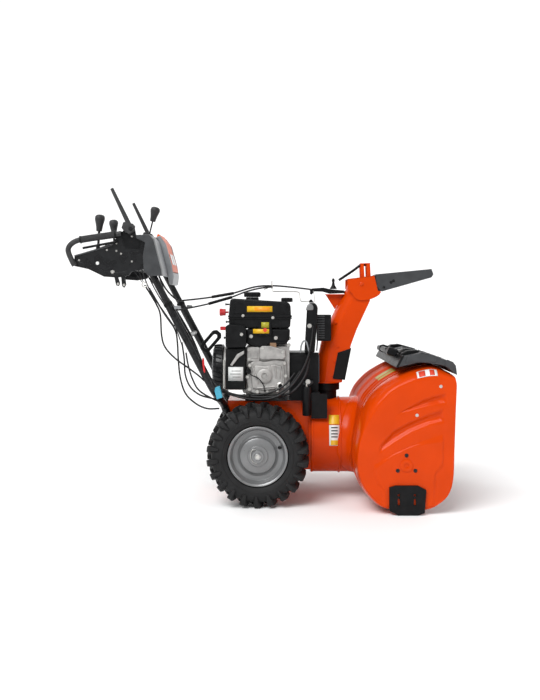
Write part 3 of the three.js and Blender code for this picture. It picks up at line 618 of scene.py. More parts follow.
def drum():
    refined("impeller_drum", 0.6)
    turned("drum_rear_seam", [(153.8, 0), (156.5, 1), (156.5, 8), (153.8, 9)], (207, 0, DRUM_Z), (1, 0, 0),
           "chassis", LOOKS["orange_paint"], 96)
    turned("drum_front_flange", [(153.8, 0), (157, 1), (158, 3), (158, 7), (153.8, 9)], (318, 0, DRUM_Z),
           (1, 0, 0), "chassis", LOOKS["orange_paint"], 96)


def wrap_x(height):
    """How far forward the back of the housing stands at a height."""
    back = WRAP[1:11]
    for (x0, z0), (x1, z1) in zip(back, back[1:]):
        if z0 <= height <= z1:
            return x0 + (x1 - x0) * (height - z0) / (z1 - z0)
    return back[0][0] if height < back[0][1] else back[-1][0]


def drum_funnel():
    """The rounded flare that runs from the drum into the back of the housing."""
    rise, steps, around = 42, 10, 96
    vertices = []
    for k in range(around):
        a = 2 * math.pi * k / around
        reach = DRUM_R + rise
        far = wrap_x(DRUM_Z + reach * math.cos(a)) + 1.5
        start = max(DRUM_X0 + 60, far - 58)
        for i in range(steps + 1):
            t = math.pi / 2 * i / steps
            r = DRUM_R + 0.6 + rise * (1 - math.cos(t))
            vertices.append(Vector((start + (far - start) * math.sin(t), r * math.sin(a),
                                    DRUM_Z + r * math.cos(a))) * MM)
    row = steps + 1
    faces = [[k * row + i, k * row + i + 1, (k + 1) % around * row + i + 1, (k + 1) % around * row + i]
             for k in range(around) for i in range(steps)]
    piece = place("drum_funnel", mesh_from("drum_funnel", vertices, faces, 60), "chassis",
                  LOOKS["orange_paint"])
    thick = piece.modifiers.new("sheet", "SOLIDIFY")
    thick.thickness = 2.0 * MM
    thick.offset = 1


side_plate("right", -1)
side_plate("left", 1)
housing_wrap()
drum()
drum_funnel()

AUGER_X, AUGER_Z = 552.5, 184.5
for side, sign in (("right", -1), ("left", 1)):
    y = sign * (PLATE_Y + 3.4)
    spots = [(AUGER_X + 38 * math.cos(math.radians(a)), y, AUGER_Z + 38 * math.sin(math.radians(a)))
             for a in (90, 210, 330)]
    bolts(side + "_bearing_bolts", spots, (0, sign, 0), 5.6, "chassis", LOOKS["black_steel"], 5)
    turned(side + "_bearing_boss", [(8, 2.6), (10, 3.6), (21, 3.8), (24, 2.6), (24, -4), (8, -4), (8, 2.6)],
           (AUGER_X, y, AUGER_Z), (0, sign, 0), "chassis", LOOKS["orange_paint"], 40)
    bolts(side + "_plate_bolts", [(681.5, sign * (PLATE_Y - 0.5), 480), (592, sign * (PLATE_Y - 0.5), 372)],
          (0, sign, 0), 4.6, "chassis")
    refined(side + "_skid_shoe", 2.0, LOOKS["black_plastic"])
    bolts(side + "_skid_bolts", [(x, sign * (PLATE_Y + 8), 66) for x in (522, 582)], (0, sign, 0), 3.6,
          "chassis", LOOKS["black_steel"], 3)

# ---------------------------------------------------------------- small tools for the details

def sticker(name, grid, look, body="chassis"):
    """A thin printed label that follows a grid of points given row by row in millimetres."""
    columns = len(grid[0])
    vertices = [Vector(p) * MM for row in grid for p in row]
    faces = [[r * columns + c, r * columns + c + 1, (r + 1) * columns + c + 1, (r + 1) * columns + c]
             for r in range(len(grid) - 1) for c in range(columns - 1)]
    mesh = bpy.data.meshes.new(name)
    mesh.from_pydata([tuple(v) for v in vertices], [], faces)
    smooth(mesh, 60)
    piece = place(name, mesh, body, look)
    thick = piece.modifiers.new("film", "SOLIDIFY")
    thick.thickness = 0.5 * MM
    thick.offset = 0
    return piece


def flat_sticker(name, x0, x1, z0, z1, y, look, body="chassis"):
    sticker(name, [[(x0, y, z0), (x1, y, z0)], [(x0, y, z1), (x1, y, z1)]], look, body)


def ribbed(name, at, axis, radius, height, teeth, body, look, slot_name=None):
    """A knob with grip ribs round its rim and a rounded top."""
    count = teeth * 4
    profile = [(0.0, 0.90), (0.12, 1.0), (0.72, 1.0), (0.93, 0.94), (1.0, 0.80)]
    turn = Vector((0, 0, 1)).rotation_difference(Vector(axis)).to_matrix()
    vertices = []
    for up, wide in profile:
        for k in range(count):
            rib = 1.0 if k % 4 in (0, 1) else 0.93
            rib = rib if 0.05 < up < 0.95 else 0.93
            a = 2 * math.pi * k / count
            r = radius * wide * rib
            spot = Vector(at) + turn @ Vector((r * math.cos(a), r * math.sin(a), height * up))
            vertices.append(spot * MM)
    faces = [[i * count + k, i * count + (k + 1) % count, (i + 1) * count + (k + 1) % count,
              (i + 1) * count + k]
             for i in range(len(profile) - 1) for k in range(count)]
    faces.append(list(range(count)))
    faces.append([(len(profile) - 1) * count + k for k in range(count)])
    return place(name, mesh_from(name, vertices, faces, 25), body, look, slot_name)


def ring(name, at, axis, radius, thick, body, look):
    """A round wire ring."""
    turn = Vector((0, 0, 1)).rotation_difference(Vector(axis)).to_matrix()
    steps = 40
    profile = [(radius + thick * math.cos(2 * math.pi * k / 12), thick * math.sin(2 * math.pi * k / 12))
               for k in range(12)]
    vertices = []
    for i in range(steps):
        a = 2 * math.pi * i / steps
        vertices += [(Vector(at) + turn @ Vector((r * math.cos(a), r * math.sin(a), h))) * MM for r,
                     h in profile]
    faces = [[i * 12 + k, i * 12 + (k + 1) % 12, ((i + 1) % steps) * 12 + (k + 1) % 12,
              ((i + 1) % steps) * 12 + k]
             for i in range(steps) for k in range(12)]
    return place(name, mesh_from(name, vertices, faces, 60), body, look)


def mirrored(make):
    """Runs a maker for the right side (sign -1) and the left side (sign 1)."""
    for side, sign in (("right", -1), ("left", 1)):
        make(side, sign)


def between(a, b):
    return (a, b) if a < b else (b, a)


# ---------------------------------------------------------------- housing labels and cover

def wrap_patch(name, x0, x1, y0, y1, look):
    line = [p for p in spline([(x, 0, z) for x, z in WRAP], 10) if p.z > 330]
    rows = []
    for before, p, after in zip(line, line[1:], line[2:]):
        if not x0 <= p.x <= x1:
            continue
        along = (after - before).normalized()
        outward = Vector((-along.z, 0, along.x))
        row = []
        for k in range(9):
            y = y0 + (y1 - y0) * k / 8
            lift = wrap_beads(p.x, p.z, y) + 2.2
            row.append((p.x + outward.x * lift, y, p.z + outward.z * lift))
        rows.append(row)
    sticker(name, rows, look)


def shoulder_patch(name, x0, x1, from_angle, to_angle, look, lift=1.2):
    """A label on the rounded shoulder of the right side plate."""
    rim, wrap = sampled(PLATE_RIM, 7), sampled(WRAP, 7)
    grid = []
    for k in range(9):
        a = math.radians(from_angle + (to_angle - from_angle) * k / 8)
        row = []
        for (rx, rz), (wx, wz) in zip(rim, wrap):
            x, z = rx + (wx - rx) * math.sin(a), rz + (wz - rz) * math.sin(a)
            if not x0 <= x <= x1 or z < 330:
                continue
            y = PLATE_Y - SHOULDER * (1 - math.cos(a))
            row.append((x, -(y + lift * math.cos(a)), z + lift * math.sin(a)))
        grid.append(row)
    shortest = min(len(row) for row in grid)
    sticker(name, [row[:shortest] for row in grid], look)


def drum_patch(name, x0, x1, z0, z1, look):
    radius = DRUM_R + 0.5
    rows = []
    for k in range(13):
        z = z0 + (z1 - z0) * k / 12
        y = -math.sqrt(radius ** 2 - (z - DRUM_Z) ** 2)
        rows.append([(x0, y, z), ((x0 + x1) / 2, y, z), (x1, y, z)])
    sticker(name, rows, look)


wrap_patch("housing_label_olive", 466, 540, -205, -62, GREEN_LABEL)
shoulder_patch("housing_label_frame", 590, 672, 14, 44, WHITE_LABEL)
shoulder_patch("housing_label_left", 595, 627, 17, 41, RED_LABEL, 1.9)
shoulder_patch("housing_label_right", 634, 667, 17, 41, RED_LABEL, 1.9)
drum_patch("drum_label_yellow", 277, 319, 306, 341, YELLOW_LABEL)
drum_patch("drum_label_white", 277, 319, 222, 303, WHITE_LABEL)
drum_patch("drum_label_strip", 283, 313, 224, 244, YELLOW_LABEL)
for row, z in enumerate((291, 279, 267, 255)):
    flat = DRUM_R + 1.0
    y = -math.sqrt(flat ** 2 - (z - DRUM_Z) ** 2)
    block("drum_label_line_%d" % row, (285, y, z), (311, y + 1.2, z + 5), "chassis", LOOKS["grey_plastic"], 0)


def cover_detail():
    refined("housing_cover", 3.0, None, 35, 3)
    rib_face = [(548, 592), (606, 605.5), (710, 579.5), (732, 570), (744, 556), (740, 554), (729, 566),
                (709, 575), (606, 600), (552, 587)]
    for k, y in enumerate((-180, -60, 60, 180)):
        prism("cover_rib_%d" % k, rib_face, y - 2, y + 2, "chassis", LOOKS["grey_plastic"], 0.8)
    for side, sign in (("right", -1), ("left", 1)):
        y0, y1 = between(sign * 349, sign * 353.5)
        front = [(704, 556), (706, 574), (711, 579), (732, 570), (743.5, 556), (748, 521), (737, 527)]
        prism("cover_%s_front_panel" % side, front, y0, y1, "chassis", LOOKS["grey_plastic"], 1.6)
        behind = [(552, 568), (560, 590), (606, 603), (668, 588), (668, 571), (640, 568), (601, 569)]
        prism("cover_%s_rear_panel" % side, behind, y0, y1, "chassis", LOOKS["grey_plastic"], 3)
        p0, p1 = between(sign * 300, sign * 344)
        prism("cover_%s_hump" % side, [(604, 600), (612, 607), (640, 600), (690, 586), (690, 580)], p0, p1,
              "chassis",
              LOOKS["grey_plastic"], 3, 3)
    edge = [(517, 549), (541, 593), (550, 593), (526, 547)]
    prism("cover_rear_lip", edge, -351, 351, "chassis", LOOKS["black_plastic"], 1.5)
    latch = [(530, 566), (546, 600), (566, 610), (600, 612), (622, 606), (622, 598), (598, 596), (560, 580)]
    for k, y in enumerate((-286, 190)):
        prism("cover_latch_%d" % k, latch, y - 22, y + 22, "chassis", LOOKS["black_plastic"], 4, 3)


cover_detail()

TOOL_X, TOOL_Z = 514, 599
turned("cleanout_tool_shaft", [(0, 0), (10.5, 0), (11, 2), (11, 250), (10, 252), (0, 252)],
       (TOOL_X, -150, TOOL_Z), (0, 1, 0), "chassis", LOOKS["black_plastic"], 28)
turned("cleanout_tool_grip", [(0, 0), (13, 0), (15, 4), (14, 22), (13, 40), (14, 70), (12, 78), (0, 78)],
       (TOOL_X, -226, TOOL_Z), (0, 1, 0), "chassis", LOOKS["black_plastic"], 28)
prism("cleanout_tool_cap", [(492, 596), (503, 621), (538, 608), (527, 581)], -262, -222, "chassis",
      LOOKS["black_plastic"], 5, 3)
prism("cleanout_tool_rest", [(540, 570), (543, 604), (562, 617), (600, 612), (607, 592), (590, 558),
                             (556, 548)],
      -264, -214, "chassis", LOOKS["black_plastic"], 7, 4)
prism("cleanout_tool_paddle", [(500, 590), (504, 608), (534, 608), (531, 596), (514, 588)], 96, 160,
      "chassis",
      LOOKS["black_plastic"], 4, 3)
for k, y in enumerate((-128, 70)):
    prism("cleanout_clip_%d" % k, [(500, 590), (503, 612), (520, 616), (549, 606), (566, 594), (540, 580),
                                   (516, 582)],
          y - 12, y + 12, "chassis", LOOKS["black_plastic"], 3, 3)


# ---------------------------------------------------------------- engine

def fuel_tank():
    body = [(-120, 690), (116, 690), (122, 700), (125, 742), (123, 784), (112, 796), (-108, 810), (-119, 805),
            (-125, 742), (-123, 700)]
    piece = prism("fuel_tank_moulding", body, -149, 119, "chassis", LOOKS["black_plastic"], 13, 5)
    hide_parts("fuel_tank")
    for low, high in ((727, 731), (733.5, 742)):
        rim = [(-127, low), (128, low), (128, high), (-127, high)]
        prism("tank_seam_%d" % low, rim, -153, 122, "chassis", LOOKS["black_plastic"], 1.4)
    inset = [(-104, 750), (108, 749), (106, 782), (96, 789), (-92, 797), (-102, 792)]
    prism("tank_panel", inset, -151.5, -146, "chassis", LOOKS["black_plastic"], 2.2, 3)
    for k, x in enumerate((-112, -20, 80)):
        prism("tank_lower_rib_%d" % k, [(x, 690), (x + 5, 690), (x + 5, 727), (x, 727)], -151.5, -145,
              "chassis",
              LOOKS["black_plastic"], 1)
    turned("filler_neck", [(21, 0), (27, 0), (27, 12), (25, 18), (21, 18), (21, 0)], (-33, -30, 797),
           (0, 0, 1),
           "chassis", LOOKS["black_plastic"], 48)
    ribbed("oil_filler_cap", (109, -86, 795), (0, 0, 1), 23.5, 18, 14, "chassis", LOOKS["black_plastic"])
    flat_sticker("tank_label_strip", -51, 50, 756, 779, -151.9, YELLOW_LABEL)
    flat_sticker("tank_label_inner", -22, 40, 759.5, 775.5, -152.3, AMBER_LABEL)
    bolts("tank_bolts", [(-67, -153.2, 741), (52, -153.2, 733)], (0, -1, 0), 4.4, "chassis")


def fuel_cap():
    piece = ribbed("fuel_cap_moulding", (-33, -30, 815.6), (0, 0, 1), 34.5, 20.5, 20, "tank_cap",
                   LOOKS["black_plastic"], "black_plastic")
    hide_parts("fuel_cap")


def engine_side():
    """The carburettor cover, air box and crankcase seen on the right side of the engine."""
    plastic = LOOKS["black_plastic"]
    cast = LOOKS["cast_aluminium"]
    refined("engine_block", 4.0, None, 35, 3)
    prism("carburettor_cover", [(-136, 620), (-130, 613), (-60, 615), (-53, 622), (-53, 684), (-62, 702),
                                (-126, 706), (-136, 698)], -177, -90, "chassis", plastic, 5, 4)
    prism("air_box", [(-54, 687), (-54, 628), (-20, 616), (28, 616), (34, 627), (104, 627), (119, 646),
                      (121, 687)],
          -146, -20, "chassis", plastic, 6, 4)
    prism("air_box_panel", [(-4, 662), (44, 662), (48, 672), (44, 718), (0, 718), (-6, 708)], -156, -140,
          "chassis",
          plastic, 2.5, 3)
    prism("air_box_step", [(50, 641), (112, 638), (112, 683), (50, 683)], -150, -140, "chassis", plastic, 3,
          3)
    flat_sticker("air_label_green", 6, 37, 693, 715, -156.4, GREEN_LABEL)
    flat_sticker("air_label_yellow", -27, 37, 670, 688, -156.6, YELLOW_LABEL)
    turned("air_label_dot", [(0, 0), (8, 0), (8, 0.6), (0, 0.6)], (21, -156.7, 684), (0, -1, 0), "chassis",
           RED_LABEL, 28)
    bolts("cover_bolts", [(-72, -177, 667)], (0, -1, 0), 4.8, "chassis")
    bolts("air_box_bolts", [(-35, -146, 658), (64, -150, 652)], (0, -1, 0), 5.4, "chassis")
    bolts("head_studs", [(117, -128, 650), (116, -128, 622)], (0, -1, 0), 6, "chassis")
    block("fuel_drain", (40, -146, 613), (66, -122, 634), "chassis",
          BRASS, 2)
    turned("starter_motor_can", [(0, 0), (24, 0), (27, 3), (27, 74), (24, 78), (0, 80)], (-134, -131, 590),
           (1, 0, 0),
           "chassis", LOOKS["black_steel"], 40)
    refined("starter_motor", 3.0, LOOKS["black_plastic"], 35, 3)
    flat_sticker("starter_plate", -125, -66, 482, 537, -165.5, WHITE_LABEL)
    for row, (x, z) in enumerate(((-112, 520), (-118, 508), (-108, 496))):
        block("starter_plate_line_%d" % row, (x, -166.1, z), (-76, -165.4, z + 2.4), "chassis",
              LOOKS["grey_plastic"], 0)
    tube("chrome_strut", [(-142, -156, 436), (-142, -156, 500), (-142, -156, 566)], 4.2, "chassis", ZINC, 20)
    prism("starter_bracket", [(-118, 545), (-110, 541), (-84, 574), (-62, 590), (-62, 603), (-90, 588)],
          -171, -160, "chassis", cast, 2, 2)
    prism("valve_cover_block", [(-2, 572), (6, 566), (92, 566), (102, 574), (102, 604), (88, 608), (44, 620),
                                (8, 620), (-2, 610)], -152, -120, "chassis", cast, 4, 3)
    prism("cylinder_flange", [(-52, 560), (-2, 556), (0, 612), (-8, 616), (-52, 614)], -144, -120, "chassis",
          cast, 3, 3)
    prism("cylinder_window", [(-36, 570), (-8, 568), (-8, 590), (-36, 592)], -147, -140, "chassis", cast, 2.5,
          2)
    crankcase = [(-48, 436), (-20, 428), (22, 428), (60, 434), (104, 446), (110, 480), (106, 560), (60, 566),
                 (20, 556), (-20, 562), (-46, 548), (-56, 500)]
    prism("crankcase_cover", crankcase, -143, -118, "chassis", cast, 5, 4)
    inner = [(-30, 448), (20, 440), (60, 446), (92, 462), (96, 500), (88, 540), (56, 548), (20, 540),
             (-20, 544),
             (-36, 500)]
    prism("crankcase_dome", inner, -151, -138, "chassis", cast, 7, 4)
    turned("crankcase_boss", [(0, 0), (27, 0), (29, 3), (29, 7), (24, 10), (12, 11), (10, 7), (0, 7)],
           (18, -150, 500), (0, -1, 0), "chassis", cast, 48)
    for k, (x0, z0, x1, z1) in enumerate(((-30, 540, -6, 470), (40, 545, 48, 500), (62, 540, 66, 490),
                                          (78, 535, 80, 490), (-10, 452, 60, 458), (92, 560, 94, 470))):
        tube("crankcase_rib_%d" % k, [(x0, -151, z0), ((x0 + x1) / 2, -152.5, (z0 + z1) / 2), (x1, -151, z1)],
             3.2,
             "chassis", cast, 12, 4)
    rim_spots = [(-42, 446), (-10, 436), (30, 434), (70, 442), (100, 456), (103, 500), (98, 550), (-40, 542),
                 (-50, 496)]
    for k, (x, z) in enumerate(rim_spots):
        turned("crankcase_lug_%d" % k, [(0, 0), (8.5, 0), (8.5, 6), (7, 7.5), (0, 7.5)], (x, -142, z),
               (0, -1, 0),
               "chassis", cast, 24)
    bolts("crankcase_bolts", [(x, -149.4, z) for x, z in rim_spots], (0, -1, 0), 4.6, "chassis", ZINC, 4)
    bolts("flange_bolts", [(-44, -144, 604), (-44, -144, 566), (10, -152, 612), (92, -152, 596)], (0, -1, 0),
          4.4,
          "chassis", ZINC, 4)
    turned("drain_port_ring", [(9, 0), (14, 0), (15, 3), (15, 9), (12, 11), (9, 10), (9, 0)], (82, -146, 460),
           (0, -1, 0), "chassis", ZINC, 40)
    turned("drain_port_plug", [(0, 0), (9.4, 0), (9.4, 5), (0, 5)], (82, -147, 460), (0, -1, 0), "chassis",
           plastic, 30)
    turned("sensor_knob", [(0, 0), (8, 0), (11, 4), (12, 10), (9, 16), (0, 18)], (-47, -143, 520), (0, -1, 0),
           "chassis", plastic, 32)
    tube("sensor_lead", [(-44, -158, 514), (-30, -161, 503), (-7, -160, 492), (13, -160, 468),
                         (21, -158, 436)],
         2.2, "chassis", LOOKS["cable_jacket"], 12)
    prism("oil_sump", [(-72, 446), (-66, 430), (16, 426), (22, 436), (18, 448)], -136, -20, "chassis", cast,
          4, 3)
    block("engine_foot", (-60, -130, 397.6), (110, -96, 416), "chassis", LOOKS["black_steel"], 2)
    bolts("engine_foot_bolts", [(-40, -113, 416), (90, -113, 416)], (0, 0, 1), 7, "chassis")


def recoil():
    cup = [(0, 46.8), (60, 46.4), (80, 44.5), (90, 39), (95.5, 33), (97, 26), (97, 0), (94, 0), (94, 30),
           (78, 41),
           (0, 43)]
    piece = turned("recoil_cover_pressing", cup, (-150.6, 0, 520), (-1, 0, 0), "chassis",
                   LOOKS["black_steel"], 96)
    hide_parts("recoil_cover")
    for k in range(30):
        a = 2 * math.pi * k / 30
        spots = []
        for x, r, turn in ((-158, 97.4, -0.035), (-170, 97.6, 0.0), (-182, 96.6, 0.035), (-190, 92, 0.05)):
            spots.append((x, r * math.sin(a + turn), 520 + r * math.cos(a + turn)))
        tube("recoil_louvre_%02d" % k, spots, 2.6, "chassis", LOOKS["black_plastic"], 8, 3)
    for k in range(3):
        a = 2 * math.pi * k / 3 + 0.4
        tube("recoil_spoke_%d" % k, [(-197.2, 26 * math.sin(a), 520 + 26 * math.cos(a)),
                                     (-197, 50 * math.sin(a + 0.12), 520 + 50 * math.cos(a + 0.12)),
                                     (-194, 76 * math.sin(a + 0.2), 520 + 76 * math.cos(a + 0.2))],
             4.2, "chassis", LOOKS["black_plastic"], 12, 4)
    turned("recoil_hub", [(0, 0), (27, 0), (27, 3), (22, 5), (0, 5)], (-196.5, 0, 520), (-1, 0, 0), "chassis",
           LOOKS["black_plastic"], 40)
    ring("recoil_edge", (-153, 0, 520), (-1, 0, 0), 97.4, 2.4, "chassis", LOOKS["black_plastic"])


fuel_tank()
fuel_cap()
engine_side()
recoil()
refined("starter_handle", 4.0, None, 35, 4)
block("starter_cord_stub", (-182, -49, 586), (-176, -43, 604), "pull_handle", LOOKS["cable_jacket"], 2)
refined("choke_knob", 1.5)
ribbed("choke_knob_rim", (-163.4, -100, 754), (1, 0, 0), 14.6, 14, 8, "choke", LOOKS["red_plastic"])
block("engine_key", (-160, -124, 682), (-138, -118, 697), "chassis", LOOKS["red_plastic"], 2.5)
turned("engine_key_lock", [(0, 0), (8, 0), (8, 14), (0, 14)], (-138, -121, 689.5), (1, 0, 0), "chassis", ZINC,
       24)
for k, (x, z) in enumerate(((-134, 786), (-132, 716), (-140, 652))):
    turned("rear_stub_%d" % k, [(0, 0), (3.4, 0), (3.4, 12), (4.6, 13), (4.6, 17), (0, 18)],
           (x + 12, -128, z),
           (-1, 0, 0), "chassis", LOOKS["black_steel"], 18)
tube("red_tag", [(-218, -259, 580), (-216, -261, 552), (-212, -260, 522)],
     [2.0, 3.0] + [4.0] * 13 + [3.0, 2.0], "chassis", LOOKS["red_plastic"], 12)
prism("blue_cable_clip", [(-178, 461), (-155, 468), (-143, 424), (-166, 416)], -246, -214, "chassis",
      BLUE_CLIP, 3, 3)


def muffler_detail():
    refined("muffler", 6.0, None, 35, 4)
    for k in range(6):
        x = 12 + 17 * k
        prism("muffler_guard_%d" % k, [(x, 612), (x + 7, 612), (x + 7, 676), (x, 676)], 166, 170, "chassis",
              LOOKS["black_steel"], 1.2)
    turned("muffler_outlet", [(7, 0), (10.5, 0), (10.5, 16), (9.5, 17), (7, 17), (7, 0)], (90, 164, 650),
           (0, 1, 0),
           "chassis", LOOKS["bare_steel"], 32)


muffler_detail()


# ---------------------------------------------------------------- belt cover, column and cables at the front

refined("belt_cover", 5.0, None, 35, 4)
refined("control_column", 7.0, None, 35, 4)
# A thin grey strip down the belt cover's front edge: a painted highlight line.
prism("belt_cover_edge_highlight", [(236, 470), (240, 470), (240, 580), (236, 584)], -113, -108, "chassis",
      LOOKS["grey_plastic"], 1.2)
turned("steering_cylinder", [(0, 0), (15, 0), (17.5, 4), (17.5, 108), (14, 116), (0, 116)], (187, -158, 343),
       (0, 0, 1), "chassis", LOOKS["black_plastic"], 40)
tube("steering_rod", [(187, -158, 458), (187, -158, 470), (190, -156, 484)], 4.4, "chassis", ZINC, 16)
prism("steering_bracket", [(168, 474), (212, 482), (214, 474), (196, 460), (172, 466)], -162, -120, "chassis",
      LOOKS["black_steel"], 1.5)
bolts("steering_bolt", [(192, -162, 478)], (0, -1, 0), 7, "chassis")
prism("column_cap", [(184, 762), (214, 762), (216, 776), (210, 787), (200, 790), (190, 782)],
      -138, -100, "chassis", LOOKS["silver_paint"], 6, 4)
turned("column_knob", [(0, 0), (9, 0), (9, 5), (6, 7), (5, 12), (0, 13)], (206, -116, 793), (0, 0, 1),
       "chassis",
       LOOKS["black_plastic"], 28)
bolts("column_bolts", [(199, -134, 700)], (0, -1, 0), 6.5, "chassis")
tube("column_wire", [(233, -137, 700), (232, -138, 660), (228, -138, 600)], 2.6, "chassis",
     LOOKS["cable_jacket"], 12)
tube("cable_arch", [(163, -126, 592), (166, -130, 620), (176, -134, 639), (188, -135, 632), (197, -136, 596)],
     3.4, "chassis", LOOKS["silver_plastic"], 14)
tube("wire_guide", [(200, -112, 800), (176, -100, 797), (166, -90, 800), (160, -74, 822), (156, -60, 836),
                    (120, -30, 838), (60, 6, 840), (50, 14, 844), (47, 18, 862), (48, 18, 884)],
     2.2, "chassis", ZINC, 12, 6)
tube("wire_guide_hook", [(48, 22, 872), (40, 20, 862), (26, 16, 852), (14, 14, 848)], 2.0, "chassis", ZINC,
     12)
ring("wire_guide_eye", (49, 15, 863), (1, 0, 0.1), 8.5, 2.0, "chassis", ZINC)
tube("column_wire_to_chute", [(216, -112, 790), (222, -80, 806), (221, -30, 830), (219, -8, 842)], 1.6,
     "chassis",
     ZINC, 10)


def cables():
    line = spline([(-338, 26, 800), (-230, 25, 812), (-130, 22, 828), (-25, 20, 858), (50, 15, 863),
                   (120, 8, 858),
                   (165, 4, 853), (213, 0, 847)], 14)
    mesh = tube_mesh("chute_cable_run", line, 3.6, 16)
    mesh.materials.append(LOOKS["cable_jacket"])
    cable = bpy.data.objects.new("chute_cable_run", mesh)
    scene.collection.objects.link(cable)
    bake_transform(cable)
    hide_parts("chute_cable")
    second = [(-338, -30, 762), (-230, -20, 784), (-130, -6, 812), (-60, 2, 838), (0, 8, 853), (47, 12, 858)]
    tube("deflector_cable_run", second, 3.4, "chassis", LOOKS["cable_jacket"], 14)
    for k, (a, b) in enumerate((((-204, 24.6, 816), (-112, 21.4, 832)),
                                ((-214, -18, 788), (-118, -4.5, 815.5)))):
        middle = [(a[i] + b[i]) / 2 for i in range(3)]
        tube("cable_sleeve_%d" % k, [a, middle, b], 6.2, "chassis", LOOKS["black_plastic"], 16)
    ends = [(-338, 26, 800), (-362, 40, 812), (-400, 60, 850), (-430, 60, 905)]
    tube("chute_cable_rise", ends, 3.6, "chassis", LOOKS["cable_jacket"], 14)
    tube("deflector_cable_rise", [(-338, -30, 762), (-366, -20, 780), (-405, 40, 840), (-432, 90, 905)], 3.4,
         "chassis", LOOKS["cable_jacket"], 14)
    harness = [(-432, -216, 890), (-352, -216, 800), (-268, -216, 660), (-212, -190, 520), (-170, -172, 470),
               (-120, -172, 434), (-40, -172, 420), (60, -172, 420), (130, -168, 440), (180, -160, 500),
               (198, -146, 570)]
    loom = tube("wiring_loom", harness, 4.6, "chassis", LOOKS["cable_jacket"], 18, 12)
    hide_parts("wiring_harness")
    upper = [(-150, -166, 440), (-110, -170, 426), (-39, -180, 411), (41, -180, 413), (100, -178, 440),
             (148, -172, 490), (187, -158, 562), (206, -142, 640), (212, -136, 700)]
    tube("loom_second", upper, 4.0, "chassis", LOOKS["cable_jacket"], 16, 10)
    tube("loom_third", [(-136, -160, 430), (-60, -160, 424), (30, -162, 432), (96, -160, 462),
                        (140, -152, 512)],
         3.4, "chassis", LOOKS["cable_jacket"], 14, 10)
    tube("loom_fourth", [(100, -150, 404), (70, -168, 424), (118, -172, 462), (160, -166, 520)],
         3.2, "chassis", LOOKS["cable_jacket"], 14, 10)
    droops = [
        [(-446, -246, 861), (-425, -256, 830), (-399, -256, 786), (-384, -257, 746), (-379, -257, 667),
         (-365, -257, 620), (-326, -257, 577), (-272, -257, 538), (-236, -252, 510), (-212, -240, 486)],
        [(-430, -236, 850), (-372, -238, 752), (-330, -240, 690), (-319, -247, 639), (-315, -248, 569),
         (-307, -248, 499), (-287, -247, 440), (-248, -243, 401), (-205, -232, 380), (-160, -200, 376)],
        [(-300, -262, 640), (-291, -262, 577), (-287, -258, 514), (-268, -255, 467), (-233, -250, 436),
         (-186, -236, 420), (-160, -210, 414)],
        [(-284, -262, 600), (-276, -260, 553), (-260, -258, 499), (-233, -254, 452), (-178, -240, 417),
         (-150, -214, 404)],
    ]
    for k, points in enumerate(droops):
        tube("control_cable_%d" % k, points, 3.3, "chassis", LOOKS["cable_jacket"], 12, 10)
    uppers = [
        [(-531, -248, 979), (-490, -250, 920), (-452, -248, 868)],
        [(-500, -250, 985), (-476, -250, 930), (-449, -248, 870)],
        [(-470, -246, 980), (-456, -250, 920), (-420, -252, 830), (-372, -250, 760), (-330, -254, 700)],
        [(-462, -240, 975), (-446, -240, 925), (-400, -238, 832), (-345, -234, 740), (-296, -262, 620)],
    ]
    for k, points in enumerate(uppers):
        tube("lever_wire_%d" % k, points, 1.5 if k < 2 else 2.4, "chassis",
             LOOKS["black_steel"] if k < 2 else LOOKS["cable_jacket"], 10, 8)
    ring("cable_ring", (-445, -262, 863), (0, 1, 0), 9.5, 2.2, "chassis", ZINC)
    for k, (x, y, z) in enumerate(((-40, -174, 416), (120, -172, 448))):
        block("loom_tie_%d" % k, (x - 3, y - 9, z - 12), (x + 3, y + 14, z + 14), "chassis",
              LOOKS["black_plastic"], 2)


cables()


# ---------------------------------------------------------------- chute and deflector

refined("chute", 4.0, None, 30, 3)
refined("chute_neck", 2.0)
refined("chute_guard", 2.5)
refined("chute_gear_cover", 4.0, None, 35, 3)
for k in range(10):
    z = 647 + k * 9.8
    block("gear_cover_louvre_%d" % k, (232, -90.6, z), (262, -87.6, z + 5), "chute_body",
          LOOKS["grey_plastic"], 1)
mirrored(lambda side, sign: bolts(side + "_chute_bolts", [
    (309, sign * 54.2, 712), (317, sign * 54.2, 612), (304, sign * 54.2, 552), (294, sign * 54.2, 495)],
    (0, sign, 0), 4.6, "chute_body", LOOKS["orange_paint"], 3.4))
prism("chute_anchor", [(204, 842), (214, 852), (262, 855), (292, 848), (350, 843), (352, 832), (288, 829.5),
                       (258, 838), (214, 839)], -9, 9, "chute_body", LOOKS["black_plastic"], 3, 3)
prism("chute_anchor_hook", [(206, 844), (226, 842), (214, 826), (206, 828)], -7, 7, "chute_body",
      LOOKS["black_plastic"], 2)
turned("anchor_pin", [(0, 0), (15, 0), (13, 6), (7.5, 14), (4.6, 28), (6.2, 33), (6.2, 37), (4, 44), (0, 45)],
       (303, 0, 849), (0, 0, 1), "chute_body", LOOKS["black_plastic"], 28)
tube("deflector_link", [(326, 0, 886), (350, 0, 902), (380, 0, 922), (402, 0, 938), (414, 0, 946),
                        (436, 0, 950)],
     5.4, "deflector", LOOKS["black_plastic"], 16)


